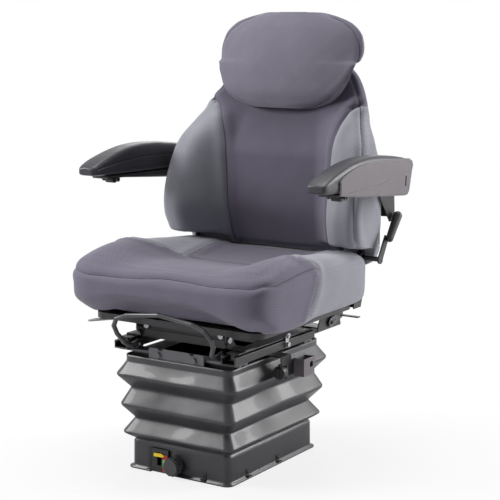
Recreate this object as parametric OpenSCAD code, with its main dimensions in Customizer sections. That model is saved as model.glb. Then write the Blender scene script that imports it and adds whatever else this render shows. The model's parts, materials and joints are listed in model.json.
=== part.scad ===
// Suspension seat for a farm machine: sprung scissor base in a rubber gaiter, slide rails,
// contoured seat with reclining back, folding armrests and a sliding head restraint.
// The origin is on the floor at the middle of the base, the front is -Y and up is +Z.

/* [Suspension base] */
// Width of the base over the rubber skirt
base_w = 275; // [265:5:300]
// Depth of the base over the rubber skirt
base_d = 370; // [360:5:400]
// Height of the steel base pan
pan_h = 64; // [60:1:66]
// Sheet metal thickness of the base pan and of the upper frame
sheet_t = 2.5; // [2:0.5:3]
// Spacing of the base fixing holes across the seat
fix_x = 180; // [160:5:200]
// Spacing of the base fixing holes along the seat
fix_y = 300; // [290:5:310]
// Diameter of the base fixing holes
fix_dia = 11; // [9:0.5:13]

/* [Scissor mechanism] */
// Height of the lower scissor pivot above the floor
low_pivot_z = 45; // [44:0.5:46]
// Height between the scissor pivots at the top of the travel
lift_z = 190; // [186:1:192]
// Length of a scissor arm between its end pivots
arm_len = 300; // [296:1:304]
// Distance of the rear pivots behind the middle of the base
pivot_y = 145; // [140:1:150]
// Width of the flat arm bars
arm_w = 26; // [24:1:28]
// Thickness of the flat arm bars
arm_t = 6; // [5:0.5:6]
// Diameter of the scissor shafts
shaft_dia = 12; // [11:0.5:13]
// Diameter of the running rollers
roller_dia = 26; // [25:0.5:27]
// Clearance of a roller inside its track, each side
track_gap = 1.6; // [1.5:0.1:2]

/* [Rubber gaiter] */
// Wall thickness of the rubber gaiter
gaiter_t = 2.5; // [2:0.5:3]
// Height of the plain skirt at the foot of the gaiter
skirt_h = 66; // [66:1:70]
// Height of the collar at the top of the gaiter
collar_z = 274; // [272:1:276]

/* [Slide rails] */
// Distance of each slide rail from the middle
rail_x = 150; // [148:1:154]
// Length of the fixed lower rails
low_rail_len = 344; // [320:2:350]
// Length of the moving upper rails
top_rail_len = 370; // [350:2:380]
// Width of a lower rail
rail_w = 38; // [36:1:40]
// Height of a lower rail
rail_h = 19; // [18:1:20]

/* [Seat] */
// Height of the seat pan plate
seat_z = 366; // [364:1:370]
// Width of the seat pan plate
seat_pan_w = 464; // [450:2:470]
// Length of the seat pan, front to rear
seat_pan_d = 426; // [420:2:430]
// Half width of the seat cushion
cushion_half_w = 275; // [265:1:280]
// Height of the recline axis
recline_z = 476; // [474:1:480]
// Distance of the recline axis behind the middle of the base
recline_y = 236; // [234:1:240]

/* [Back and head] */
// Spacing of the head restraint posts
post_gap = 150; // [120:5:180]
// Diameter of the head restraint posts
post_dia = 10; // [8:1:12]
// Thickness of the moulded rear shell
shell_t = 4; // [3:0.5:5]

/* [Armrests] */
// Distance of an armrest's inner face from the middle
arm_in = 292; // [291:1:300]
// Width of an armrest with its cover
rest_w = 58; // [52:1:64]
// Height of the armrest hinge axis
rest_z = 650; // [646:1:654]
// Distance of the armrest hinge behind the middle of the base
rest_y = 262; // [258:1:266]

/* [Controls] */
// Diameter of the weight adjusting knob
knob_dia = 44; // [38:1:46]
// Height of the weight adjusting spindle
knob_z = 28; // [27:0.5:30]
// Sideways place of the weight adjusting spindle
knob_x = -5; // [-8:1:-2]
// Diameter of the slide handle tube
handle_dia = 11; // [9:0.5:12]

/* [Hidden] */

$fn = 48;
eps = 0.01;
// Gap between soft or sheet parts that lie against each other
fit = 0.3;
// Radial clearance of a turning fit
run = 0.05;
half_w = base_w / 2;
half_d = base_d / 2;
pan_x = half_w - gaiter_t - fit;
pan_y = half_d - gaiter_t - fit;
wall_x = pan_x - sheet_t;
top_pivot_z = low_pivot_z + lift_z;
fold_angle = asin(lift_z / arm_len);
roller_y = pivot_y - arm_len * cos(fold_angle);
mid_y = pivot_y - arm_len / 2 * cos(fold_angle);
mid_z = low_pivot_z + lift_z / 2;
roller_w = 12;
track_t = 3;
track_h = roller_dia + 2 * track_gap + 2 * track_t;
track_in = 113;
roller_x = track_in + 2.5;
outer_arm_x = 100;
inner_arm_x = 88;
ear_t = 3;
damper_x = 66;
damper_y = 54;
strap_y = [36, 72];

// Upper frame
tray_x = pan_x;
tray_y = half_d - 5;
tray_low = top_pivot_z - 19;
tray_top = top_pivot_z + 47;
collar_out = 12;
ring_z = collar_z - 12;
crossbar_h = 6;
rail_z = tray_top + crossbar_h;
rail_front = -204;
top_rail_front = -186;
rail_t = 3;
carriage_z = rail_z + rail_h + 6;
member_t = 3;

// Seat tilt
tilt_y = -165;
tilt_z = seat_z - 31;
tilt_pin_dia = 10;
latch_y = 150;
latch_z = seat_z - 38;
latch_dia = 8;
tilt_range = 3.6;
hanger_x = 195;
quadrant_x = hanger_x + 3 + 3;

// Back
recline_dia = 12;
lower_plate_x = 236;
upper_plate_x = 242;
plate_t = 3;

// Smooth helpers
function clamp01(t) = min(1, max(0, t));
function smooth(t) = let (u = clamp01(t)) u * u * (3 - 2 * u);
// Value at z from a table of [z, value] pairs, smooth between them
function table(t, z) = table_at(t, z, 0);
function table_at(t, z, i) =
    z <= t[0][0] ? t[0][1]
    : i >= len(t) - 1 ? t[len(t) - 1][1]
    : z <= t[i + 1][0]
        ? t[i][1] + (t[i + 1][1] - t[i][1]) * (z - t[i][0]) / (t[i + 1][0] - t[i][0])
        : table_at(t, z, i + 1);
// Point of a rounded square at an angle, squarer as m grows
function round_sq(a, m) = let (
    r = pow(pow(abs(cos(a)), m) + pow(abs(sin(a)), m), -1 / m)) [r * cos(a), r * sin(a)];
// Scale of a section near the rounded end of a soft part
function end_scale(v, m) = pow(1 - pow(abs(v), m), 1 / m);
// Places of the sections along a soft part, closer at the ends
function places(n) = [for (i = [0:n]) sin(88 * (2 * i / n - 1)) * 0.9994];

// Closed solid through rings of points, each ring with the same number of points
module loft(rings) {
    n = len(rings[0]);
    m = len(rings);
    polyhedron(
        points = [for (ring = rings) each ring],
        faces = concat(
            [[for (i = [0:n - 1]) n - 1 - i]],
            [[for (i = [0:n - 1]) (m - 1) * n + i]],
            [for (j = [0:m - 2]) for (i = [0:n - 1]) let (k = (i + 1) % n)
                each [[j * n + i, j * n + k, (j + 1) * n + k], [j * n + i, (j + 1) * n + k, (j + 1) * n + i]]]),
        convexity = 6);
}

// Closed tube wall through rings: the last ring joins the first
module ring_wall(rings) {
    n = len(rings[0]);
    m = len(rings);
    polyhedron(
        points = [for (ring = rings) each ring],
        faces = [for (j = [0:m - 1]) for (i = [0:n - 1]) let (k = (i + 1) % n, l = (j + 1) % m)
            each [[j * n + i, j * n + k, l * n + k], [j * n + i, l * n + k, l * n + i]]],
        convexity = 10);
}

// Rounded rectangle as a list of points at height z
function corner_ring(a, b, r, z, k = 5) = [
    for (q = [[1, 1, 0], [-1, 1, 90], [-1, -1, 180], [1, -1, 270]])
        for (i = [0:k]) let (t = q[2] + 90 * i / k)
            [q[0] * (a - r) + r * cos(t), q[1] * (b - r) + r * sin(t), z]];

// Plate in the XZ plane seen from the front, from y0 towards +Y
module plate_y(y0, t) { translate([0, y0 + t, 0]) rotate([90, 0, 0]) linear_extrude(t) children(); }
// Plate in the YZ plane seen from +X, from x0 towards +X
module plate_x(x0, t) { translate([x0, 0, 0]) rotate([90, 0, 90]) linear_extrude(t) children(); }
module rod_x(x0, x1, y, z, d) { translate([x0, y, z]) rotate([0, 90, 0]) cylinder(h = x1 - x0, d = d); }
module rod_y(y0, y1, x, z, d) { translate([x, y0, z]) rotate([-90, 0, 0]) cylinder(h = y1 - y0, d = d); }
module both_sides() { children(); mirror([1, 0, 0]) children(); }
module rounded(a, b, r) { offset(r = r) square([a - 2 * r, b - 2 * r], center = true); }
module box(lo, hi) { translate(lo) cube(hi - lo); }

// Base

module base_pan() {
    color([0.16, 0.16, 0.17]) difference() {
        union() {
            // Floor of the pan with its walls
            difference() {
                linear_extrude(pan_h) rounded(2 * pan_x, 2 * pan_y, 14);
                translate([0, 0, sheet_t]) linear_extrude(pan_h) rounded(2 * wall_x, 2 * (pan_y - sheet_t), 12);
            }
            // Ears that hold the rear pivot shaft
            both_sides() difference() {
                plate_x(outer_arm_x + arm_t + ear_t, ear_t) union() {
                    translate([pivot_y, low_pivot_z]) circle(r = 14);
                    translate([pivot_y - 18, sheet_t - eps]) square([36, low_pivot_z - sheet_t]);
                }
                rod_x(outer_arm_x, outer_arm_x + 20, pivot_y, low_pivot_z, shaft_dia + 0.04);
            }
        }
        // Openings in the floor, with a strap left for the damper
        box([-95, -120, -1], [95, strap_y[0], sheet_t + 1]);
        box([-95, strap_y[1], -1], [95, 120, sheet_t + 1]);
        // Fixing holes
        for (sx = [-1, 1]) for (sy = [-1, 1])
            translate([sx * fix_x / 2, sy * fix_y / 2, -1]) cylinder(h = sheet_t + 2, d = fix_dia);
        translate([damper_x, damper_y, -1]) cylinder(h = sheet_t + 2, d = 8.2);
        // Spindle hole and slot for the pointer in the front wall
        rod_y(-pan_y - 1, -pan_y + sheet_t + 1, knob_x, knob_z, spindle_dia + 2 * run);
        box([pointer_x - 6, -pan_y - 1, pointer_z - 26], [pointer_x + 6, -pan_y + sheet_t + 1, pointer_z + 6]);
        // Drain slots along the sides
        for (sx = [-1, 1]) for (y = [0, 50])
            box([sx * pan_x - 4, y, 30], [sx * pan_x + 4, y + 30, 40]);
    }
}

// C section running track, open towards the middle
module track(y0, y1, z) {
    difference() {
        box([track_in, y0, z - track_h / 2], [wall_x, y1, z + track_h / 2]);
        box([track_in - 1, y0 - 1, z - track_h / 2 + track_t],
            [wall_x - track_t, y1 + 1, z + track_h / 2 - track_t]);
    }
}
track_y0 = roller_y - 80;
track_y1 = roller_y + 32;
module base_tracks() { color([0.3, 0.3, 0.31]) both_sides() track(track_y0, track_y1, low_pivot_z); }
module upper_tracks() { color([0.3, 0.3, 0.31]) both_sides() track(track_y0, track_y1, top_pivot_z); }

module base_pivot_shaft() {
    color([0.6, 0.6, 0.62]) {
        x = outer_arm_x + arm_t + 2 * ear_t + 1;
        rod_x(-x, x, pivot_y, low_pivot_z, shaft_dia);
    }
}

// Gaiter: each line is a height and how far the wall stands out there
spindle_dia = 10;
pointer_x = -54;
pointer_z = 44;
lip_out = 8;
fold_rings = [[1, lip_out], [4, lip_out], [6, 0], [skirt_h, 0], [72, -4], [85, 17], [88, 20], [91, 17],
    [119, -2], [122, -3], [125, -2], [151, 23], [155, 26], [159, 23], [192, 6], [195, 5], [198, 6],
    [224, 30], [228, 33], [232, 30], [collar_z - 15, collar_out], [collar_z, collar_out]];
module gaiter() {
    n = len(fold_rings);
    outer = [for (f = fold_rings) corner_ring(half_w + f[1], half_d + f[1], 16 + max(0, f[1]) * 0.3, f[0])];
    inner = [for (i = [n - 1:-1:0]) let (f = fold_rings[i], o = i < 2 ? 0 : f[1])
        corner_ring(half_w + o - gaiter_t, half_d + o - gaiter_t, 14 + max(0, o) * 0.3, f[0])];
    color([0.17, 0.17, 0.18]) difference() {
        ring_wall(concat(outer, inner));
        // Window for the indicator and the knob's spindle
        box([housing_x0 - fit, -half_d - 12, -1], [housing_x1 + fit, -half_d + 5, housing_top + fit]);
        rod_y(-half_d - 5, -half_d + 5, knob_x, knob_z, spindle_dia + 4);
    }
}

module clip_at(x, y, a) {
    translate([x, y, 0]) rotate([0, 0, a]) {
        box([-7, -fit - 1.5, 8 - eps], [7, -fit, 24]);
        box([-7, -fit - lip_out - 2.5, 6 + fit], [7, -fit, 8]);
        box([-3, -fit - 4.5, 14], [3, -fit - 1.5, 18]);
    }
}
module gaiter_clips() {
    color([0.12, 0.12, 0.12]) {
        clip_at(71, -half_d, 0);
        for (y = [-108, 22]) {
            clip_at(half_w, y, 90);
            clip_at(-half_w, y, -90);
        }
        for (x = [-71, 71]) clip_at(x, half_d, 180);
    }
}

// Ride height indicator: housing, colour scale and moving pointer
housing_x0 = -76;
housing_x1 = -28;
housing_top = 58;
module indicator_housing() {
    color([0.06, 0.06, 0.06]) difference() {
        box([housing_x0, -half_d - 4, 2], [housing_x1, -half_d + gaiter_t, housing_top]);
        box([pointer_x - 6, -half_d - 5, pointer_z - 26], [pointer_x + 6, -half_d + 5, pointer_z + 6]);
        box([-44, -half_d - 5, 5], [-30, -half_d - 2.5, 46]);
    }
}
module indicator_scale() {
    color([0.1, 0.6, 0.2]) box([-43.7, -half_d - 5, 5.3], [-30.3, -half_d - 2.5, 45.7]);
}
module height_pointer() {
    color([0.95, 0.8, 0.1]) {
        box([pointer_x - 4, -half_d - 5 - 2 * fit, pointer_z - 4], [pointer_x + 4, -pan_y + 8, pointer_z + 4]);
        // The tip passes just in front of the scale
        plate_y(-half_d - 8, 3 - fit) polygon([[pointer_x - 13, pointer_z - 4], [pointer_x + 10, pointer_z - 4],
            [pointer_x + 18, pointer_z], [pointer_x + 10, pointer_z + 4], [pointer_x - 13, pointer_z + 4]]);
        box([pointer_x - 12, -pan_y + 3 + fit, pointer_z - 4], [pointer_x + 12, -pan_y + 8, pointer_z + 4]);
    }
}

knob_front = -half_d - 30;
module weight_knob() {
    color([0.45, 0.45, 0.46]) difference() {
        union() {
            rod_y(knob_front + 4, -half_d - 6, knob_x, knob_z, knob_dia);
            rod_y(knob_front, knob_front + 4 + eps, knob_x, knob_z, knob_dia - 6);
            rod_y(-half_d - 6 - eps, -half_d - 3, knob_x, knob_z, 20);
        }
        for (a = [0:30:330]) translate([knob_x, 0, knob_z]) rotate([0, a, 0])
            rod_y(knob_front - 1, -half_d - 9, knob_dia / 2 + 2, 0, 7);
        rod_y(-half_d - 18, -half_d, knob_x, knob_z, spindle_dia + 0.04);
    }
}
module weight_spindle() {
    color([0.6, 0.6, 0.62]) {
        rod_y(-half_d - 18, roller_y - 28, knob_x, knob_z, spindle_dia);
        rod_y(-pan_y + sheet_t + fit, -pan_y + sheet_t + 4, knob_x, knob_z, 16);
    }
}

// Preload bar on the spindle, with guide pegs for the two springs
spring_x = 45;
spring_r = 12;
wire_dia = 3.6;
seat_bar_y = -pan_y + 9;
spring_front = seat_bar_y + 6 + fit;
spring_back = roller_y - 10 - fit;
module spring_seat() {
    color([0.32, 0.32, 0.33]) difference() {
        union() {
            box([-66, seat_bar_y, low_pivot_z - 13], [66, seat_bar_y + 6, low_pivot_z + 13]);
            box([knob_x - 12, seat_bar_y, knob_z - 11], [knob_x + 12, seat_bar_y + 12, knob_z + 11]);
            for (sx = [-1, 1])
                rod_y(seat_bar_y, seat_bar_y + 18, sx * spring_x, low_pivot_z, 2 * spring_r - 2 * wire_dia - 2);
        }
        rod_y(seat_bar_y - 1, seat_bar_y + 13, knob_x, knob_z, spindle_dia + 0.06);
    }
}
// Coil of round wire along Y
module coil(y0, y1, turns) {
    steps = 12;
    sides = 6;
    n = turns * steps;
    r = spring_r - wire_dia / 2;
    rings = [for (i = [0:n]) let (a = 360 * i / steps, y = y0 + wire_dia / 2 + (y1 - y0 - wire_dia) * i / n)
        [for (j = [0:sides - 1]) let (b = 360 * j / sides, q = r + wire_dia / 2 * cos(b))
            [q * cos(a), y + wire_dia / 2 * sin(b), q * sin(a)]]];
    loft(rings);
}
module suspension_springs() {
    color([0.75, 0.6, 0.2]) for (sx = [-1, 1])
        translate([sx * spring_x, 0, low_pivot_z]) coil(spring_front, spring_back, 5);
}

// Damper
damper_dia = 28;
rod_dia = 10;
damper_top = 125;
module damper_tube() {
    color([0.1, 0.1, 0.1]) translate([damper_x, damper_y, 0]) difference() {
        union() {
            translate([0, 0, 8]) cylinder(h = damper_top - 8, d = damper_dia);
            translate([0, 0, sheet_t]) cylinder(h = 6, d = 20);
            translate([0, 0, 0.5]) cylinder(h = 4, d = 8);
        }
        translate([0, 0, 12]) cylinder(h = damper_top - 16, d = 22);
        translate([0, 0, damper_top - 5]) cylinder(h = 6, d = rod_dia + 0.2);
    }
}
module damper_rod() {
    color([0.7, 0.7, 0.72]) translate([damper_x, damper_y, 0]) {
        translate([0, 0, 100]) cylinder(h = 10, d = 21.6);
        translate([0, 0, 105]) cylinder(h = tray_top - sheet_t - 105, d = rod_dia);
        translate([0, 0, tray_top - sheet_t - 8]) cylinder(h = 8 - 0.02, d = 20);
        translate([0, 0, tray_top - sheet_t - 1]) cylinder(h = 11, d = 8);
        translate([0, 0, tray_top + 0.02]) cylinder(h = 5, d = 15, $fn = 6);
    }
}

// Scissor arms

// Bar from its rear pivot towards the front, dir +1 rises and -1 falls
module arm_bar(x0, z, dir, rear_bore, mid_bore, front_bore) {
    translate([0, pivot_y, z]) rotate([-dir * fold_angle, 0, 0]) difference() {
        union() {
            plate_x(x0, arm_t) union() {
                circle(d = arm_w);
                translate([-arm_len, 0]) circle(d = arm_w);
                translate([-arm_len, -arm_w / 2 + 2]) square([arm_len, arm_w - 4]);
                translate([-arm_len / 2, 0]) circle(d = arm_w + 6);
            }
        }
        rod_x(x0 - 1, x0 + arm_t + 1, 0, 0, rear_bore);
        rod_x(x0 - 1, x0 + arm_t + 1, -arm_len / 2, 0, mid_bore);
        rod_x(x0 - 1, x0 + arm_t + 1, -arm_len, 0, front_bore);
    }
}
tie_at = 62;
module tie_tube(x, z, dir) {
    translate([0, pivot_y, z]) rotate([-dir * fold_angle, 0, 0]) difference() {
        rod_x(-x - eps, x + eps, -tie_at, 0, 18);
        rod_x(-x - 1, x + 1, -tie_at, 0, 14);
    }
}
module outer_arms() {
    color([0.14, 0.14, 0.15]) {
        both_sides() arm_bar(outer_arm_x, low_pivot_z, 1,
            shaft_dia + 2 * run, shaft_dia + 0.04, shaft_dia + 0.04);
        tie_tube(outer_arm_x, low_pivot_z, 1);
    }
}
module outer_shafts() {
    color([0.6, 0.6, 0.62]) {
        x = roller_x + roller_w + 0.5;
        rod_x(-x, x, roller_y, top_pivot_z, shaft_dia);
        rod_x(-outer_arm_x - arm_t - 1, outer_arm_x + arm_t + 1, mid_y, mid_z, shaft_dia);
    }
}
module rollers(z) {
    both_sides() difference() {
        rod_x(roller_x, roller_x + roller_w, roller_y, z, roller_dia);
        rod_x(roller_x - 1, roller_x + roller_w + 1, roller_y, z, shaft_dia + 2 * run);
    }
}
module upper_rollers() { color([0.85, 0.85, 0.8]) rollers(top_pivot_z); }
module lower_rollers() { color([0.85, 0.85, 0.8]) rollers(low_pivot_z); }

mid_slack = 1.8;
module inner_arms() {
    color([0.14, 0.14, 0.15]) {
        both_sides() arm_bar(inner_arm_x, top_pivot_z, -1,
            shaft_dia + 2 * run, shaft_dia + 2 * mid_slack, shaft_dia + 0.04);
        tie_tube(inner_arm_x, top_pivot_z, -1);
    }
}
module inner_shaft() {
    color([0.6, 0.6, 0.62]) {
        x = roller_x + roller_w + 0.5;
        rod_x(-x, x, roller_y, low_pivot_z, shaft_dia);
        // Round sleeves that push on the springs at any angle of the arms
        for (sx = [-1, 1])
            rod_x(sx * spring_x - spring_r - 1, sx * spring_x + spring_r + 1, roller_y, low_pivot_z, 20);
    }
}

// Upper frame of the suspension

module upper_frame() {
    color([0.14, 0.14, 0.15]) difference() {
        union() {
            difference() {
                box([-tray_x, -tray_y, tray_low], [tray_x, tray_y, tray_top]);
                box([-wall_x, -tray_y + sheet_t, tray_low - 1], [wall_x, tray_y - sheet_t, tray_top - sheet_t]);
            }
            // Flange that carries the collar of the gaiter
            difference() {
                translate([0, 0, ring_z])
                    linear_extrude(sheet_t) rounded(2 * (half_w + collar_out - gaiter_t - fit),
                        2 * (half_d + collar_out - gaiter_t - fit), 24);
                box([-tray_x + 1, -tray_y + 1, ring_z - 1], [tray_x - 1, tray_y - 1, ring_z + 4]);
            }
            // Ears that hold the upper pivot shaft
            both_sides() plate_x(inner_arm_x + arm_t + ear_t, ear_t) union() {
                translate([pivot_y, top_pivot_z]) circle(r = 14);
                translate([pivot_y - 18, top_pivot_z]) square([36, tray_top - top_pivot_z - sheet_t + eps]);
            }
        }
        rod_x(-110, 110, pivot_y, top_pivot_z, shaft_dia + 0.04);
        box([-86, -135, tray_top - 10], [86, strap_y[0], tray_top + 1]);
        box([-86, strap_y[1], tray_top - 10], [86, 120, tray_top + 1]);
        translate([damper_x, damper_y, tray_top - 10]) cylinder(h = 12, d = 8.2);
    }
}
module upper_pivot_shaft() {
    x = inner_arm_x + arm_t + 2 * ear_t + 1;
    color([0.6, 0.6, 0.62]) rod_x(-x, x, pivot_y, top_pivot_z, shaft_dia);
}
front_y = -half_d - 9;
module front_plate() {
    color([0.33, 0.33, 0.35]) difference() {
        union() {
            plate_y(front_y, 3) difference() {
                polygon([[-77, ring_z + sheet_t], [77, ring_z + sheet_t], [77, 296], [72, 299], [52, 299],
                    [48, 294], [40, 294], [36, 299], [-36, 299], [-40, 294], [-48, 294], [-52, 299],
                    [-72, 299], [-77, 296]]);
            }
            // Foot that ties the plate to the frame wall
            box([-77, front_y, ring_z + sheet_t], [77, -tray_y, ring_z + sheet_t + 3]);
        }
        for (sx = [-1, 1]) rod_y(front_y - 1, front_y + 4, sx * 50, 284, 8.4);
    }
    color([0.7, 0.7, 0.7]) for (sx = [-1, 1]) {
        rod_y(front_y - 5, front_y, sx * 50, 284, 14);
        rod_y(front_y - 1, front_y + 5, sx * 50, 284, 8);
    }
}
bar_ys = [-170, 110];
module rail_crossbars() {
    color([0.12, 0.12, 0.12]) for (y = bar_ys)
        difference() {
            box([-rail_x - rail_w / 2, y - 17, tray_top], [rail_x + rail_w / 2, y + 17, rail_z]);
            box([-rail_x - rail_w / 2 - 1, y - 9, tray_top - 1],
                [rail_x + rail_w / 2 + 1, y + 9, rail_z - 3]);
            translate([0, 0, tray_top - 1]) for (sx = [-1, 1])
                translate([sx * rail_x, y, 0]) cylinder(h = crossbar_h + 2, d = 8.4);
        }
}

// Slide rails

module lower_rail_section() {
    difference() {
        square([rail_w, rail_h]);
        translate([rail_t, rail_t]) square([rail_w - 2 * rail_t, rail_h - 2 * rail_t]);
        translate([rail_t + 6, rail_h - rail_t - 1]) square([rail_w - 2 * rail_t - 12, rail_t + 2]);
    }
}
module lower_rails() {
    color([0.1, 0.1, 0.1]) both_sides() translate([rail_x - rail_w / 2, rail_front + low_rail_len, rail_z])
        rotate([90, 0, 0]) linear_extrude(low_rail_len) lower_rail_section();
}
slide_gap = 0.4;
foot_w = rail_w - 2 * rail_t - 6;
web_w = rail_w - 2 * rail_t - 12 - 8;
module upper_rail_section() {
    low = rail_t + 3;
    translate([-foot_w / 2, low]) square([foot_w, 4]);
    translate([-web_w / 2, low]) square([web_w, carriage_z - rail_z - low]);
    translate([-rail_w / 2 + 2, carriage_z - rail_z - 3]) square([rail_w - 4, 3]);
}
module upper_rails() {
    color([0.12, 0.12, 0.12]) both_sides() translate([rail_x, top_rail_front + top_rail_len, rail_z])
        rotate([90, 0, 0]) linear_extrude(top_rail_len) upper_rail_section();
}
// Plastic shoes between the rails
module rail_glides() {
    low = rail_z + rail_t + slide_gap;
    color([0.85, 0.85, 0.8]) both_sides() for (y = [top_rail_front + 100, top_rail_front + 230])
        difference() {
            box([rail_x - foot_w / 2 - 3 + slide_gap, y, low],
                [rail_x + foot_w / 2 + 3 - slide_gap, y + 40, rail_z + rail_h - rail_t - slide_gap]);
            box([rail_x - foot_w / 2 - 0.05, y - 1, rail_z + rail_t + 3 - 0.05],
                [rail_x + foot_w / 2 + 0.05, y + 41, rail_z + rail_t + 7.05]);
            box([rail_x - web_w / 2 - 0.05, y - 1, rail_z + rail_t + 3],
                [rail_x + web_w / 2 + 0.05, y + 41, rail_z + rail_h]);
        }
}
stop_y = 11;
module rail_stops() {
    x = rail_x + rail_w / 2;
    color([0.7, 0.7, 0.72]) both_sides() {
        plate_x(x + 0.02, 2.5) polygon([[stop_y - 7, rail_z + 2], [stop_y + 7, rail_z + 2],
            [stop_y + 7, carriage_z - 4], [stop_y + 16, carriage_z + 6], [stop_y + 4, carriage_z + 10],
            [stop_y - 7, carriage_z + 4]]);
        rod_x(x + 2.5, x + 8, stop_y, rail_z + 9, 12);
        rod_x(x + 2.5, x + 6, stop_y + 3, carriage_z + 2, 8);
    }
}

// Isolator control on the left hand side of the sitter

iso_x = half_w + 33 + 15;
module isolator_bracket() {
    color([0.08, 0.08, 0.08]) {
        box([tray_x + 0.02, -42, tray_top - 6], [iso_x + 3, 0, tray_top - 3]);
        plate_x(iso_x, 3) polygon([[-42, tray_top - 3], [0, tray_top - 3], [2, 266], [62, 262],
            [62, 232], [-30, 228], [-42, 240]]);
        difference() {
            box([iso_x - 4, -45, 232], [iso_x + 20, -42, 262]);
            rod_y(-46, -41, iso_x + 8, 247, 8 + 2 * run);
        }
    }
}
module isolator_housing() {
    color([0.55, 0.52, 0.51]) difference() {
        box([iso_x + 3.02, 12, 224], [iso_x + 31, 60, 266]);
        box([iso_x + 5.5, 14.5, 227], [iso_x + 28.5, 57.5, 270]);
        rod_x(iso_x + 20, iso_x + 40, 46, 249, 14);
    }
}
module isolator_knob() {
    color([0.07, 0.07, 0.07]) {
        rod_y(-62, -45.3, iso_x + 8, 247, 30);
        rod_y(-66, -61, iso_x + 8, 247, 22);
        rod_y(-46, -38, iso_x + 8, 247, 8);
        box([iso_x + 4, -70, 236], [iso_x + 12, -61, 258]);
    }
}

// Carriage on the rails

module front_member() {
    color([0.09, 0.09, 0.09]) difference() {
        union() {
            box([-rail_x - 17, tilt_y + 4, carriage_z], [rail_x + 17, tilt_y + 40, carriage_z + member_t]);
            box([-122, tilt_y + 4, carriage_z], [122, tilt_y + 7, tilt_z + 16]);
            // Lugs for the slide handle
            both_sides() plate_x(110, 3) polygon([[tilt_y + 4, carriage_z + 2], [tilt_y + 24, carriage_z + 2],
                [tilt_y - 8, handle_pivot[1] - 8], [tilt_y - 26, handle_pivot[1] - 8],
                [tilt_y - 27, handle_pivot[1] + 6]]);
            both_sides() plate_x(119, 3) union() {
                translate([tilt_y, tilt_z]) circle(r = 11);
                polygon([[tilt_y - 6, tilt_z + 9], [tilt_y + 7, tilt_z + 16],
                    [tilt_y + 36, carriage_z + member_t], [tilt_y + 4, carriage_z], [tilt_y - 11, tilt_z]]);
            }
        }
        rod_x(-130, 130, tilt_y, tilt_z, tilt_pin_dia + 0.04);
        for (sx = [-1, 1]) rod_y(tilt_y, tilt_y + 10, sx * 104, tilt_z + 7, 8.4);
        rod_x(-116, 116, handle_pivot[0], handle_pivot[1], handle_pin + 0.04);
    }
}
module rear_member() {
    slot_r = norm([latch_y - tilt_y, latch_z - tilt_z]);
    start = atan2(latch_z - tilt_z, latch_y - tilt_y);
    color([0.08, 0.08, 0.08]) {
        box([-quadrant_x - 3, latch_y - 22, carriage_z], [quadrant_x + 3, latch_y + 22, carriage_z + member_t]);
        both_sides() plate_x(quadrant_x, 3) difference() {
            intersection() {
                translate([latch_y, carriage_z - 4]) circle(r = seat_z - carriage_z + 1);
                translate([latch_y - 60, carriage_z]) square([120, 60]);
            }
            // Arc slot around the tilt axis
            translate([tilt_y, tilt_z]) {
                for (a = [start - 0.2:0.4:start + tilt_range + 0.6])
                    rotate(a) translate([slot_r, 0]) circle(d = latch_dia + 1.2);
            }
        }
    }
}
module member_bolts() {
    color([0.75, 0.75, 0.75]) {
        for (sx = [-1, 1]) {
            rod_y(tilt_y - 2, tilt_y + 4 - 0.02, sx * 104, tilt_z + 7, 14);
            rod_y(tilt_y + 3, tilt_y + 12, sx * 104, tilt_z + 7, 8);
        }
        // Pins of the slide handle
        both_sides() {
            rod_x(108, 124, handle_pivot[0], handle_pivot[1], handle_pin);
            rod_x(121, 124, handle_pivot[0], handle_pivot[1], 14);
        }
    }
}

// Slide handle: a bent bar in front of the cushion
handle_pivot = [-184, carriage_z - 12];
handle_pin = 8;
handle_path = [[117, -203.3, 0], [117, -211, 1], [122, -227, 11], [134, -238, 32], [135, -248, 52],
    [122, -255.5, 71], [91, -257, 82.5], [0, -257.8, 93.6]];
handle_points = concat([for (q = handle_path) q],
    [for (i = [len(handle_path) - 2:-1:0]) [-handle_path[i][0], handle_path[i][1], handle_path[i][2]]]);
// One straight length of the handle's bar, with a slightly fuller ball at its far bend
module handle_length(a, b, ball) {
    d = b - a;
    translate(a) rotate([0, acos(d[2] / norm(d)), atan2(d[1], d[0])]) cylinder(h = norm(d), d = handle_dia);
    if (ball) translate(b) sphere(d = handle_dia + 0.3);
}

module slide_handle() {
    color([0.55, 0.55, 0.57]) {
        for (i = [0:len(handle_points) - 2])
            handle_length(handle_points[i] + [0, 0, handle_pivot[1]],
                handle_points[i + 1] + [0, 0, handle_pivot[1]], i < len(handle_points) - 2);
        both_sides() plate_x(113.5, 7) difference() {
            union() {
                translate(handle_pivot) circle(r = 10);
                translate([-203, handle_pivot[1] - 6.5]) square([19, 13]);
            }
            translate(handle_pivot) circle(d = handle_pin + 2 * run);
        }
    }
}

// Seat pan and its fittings

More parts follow.
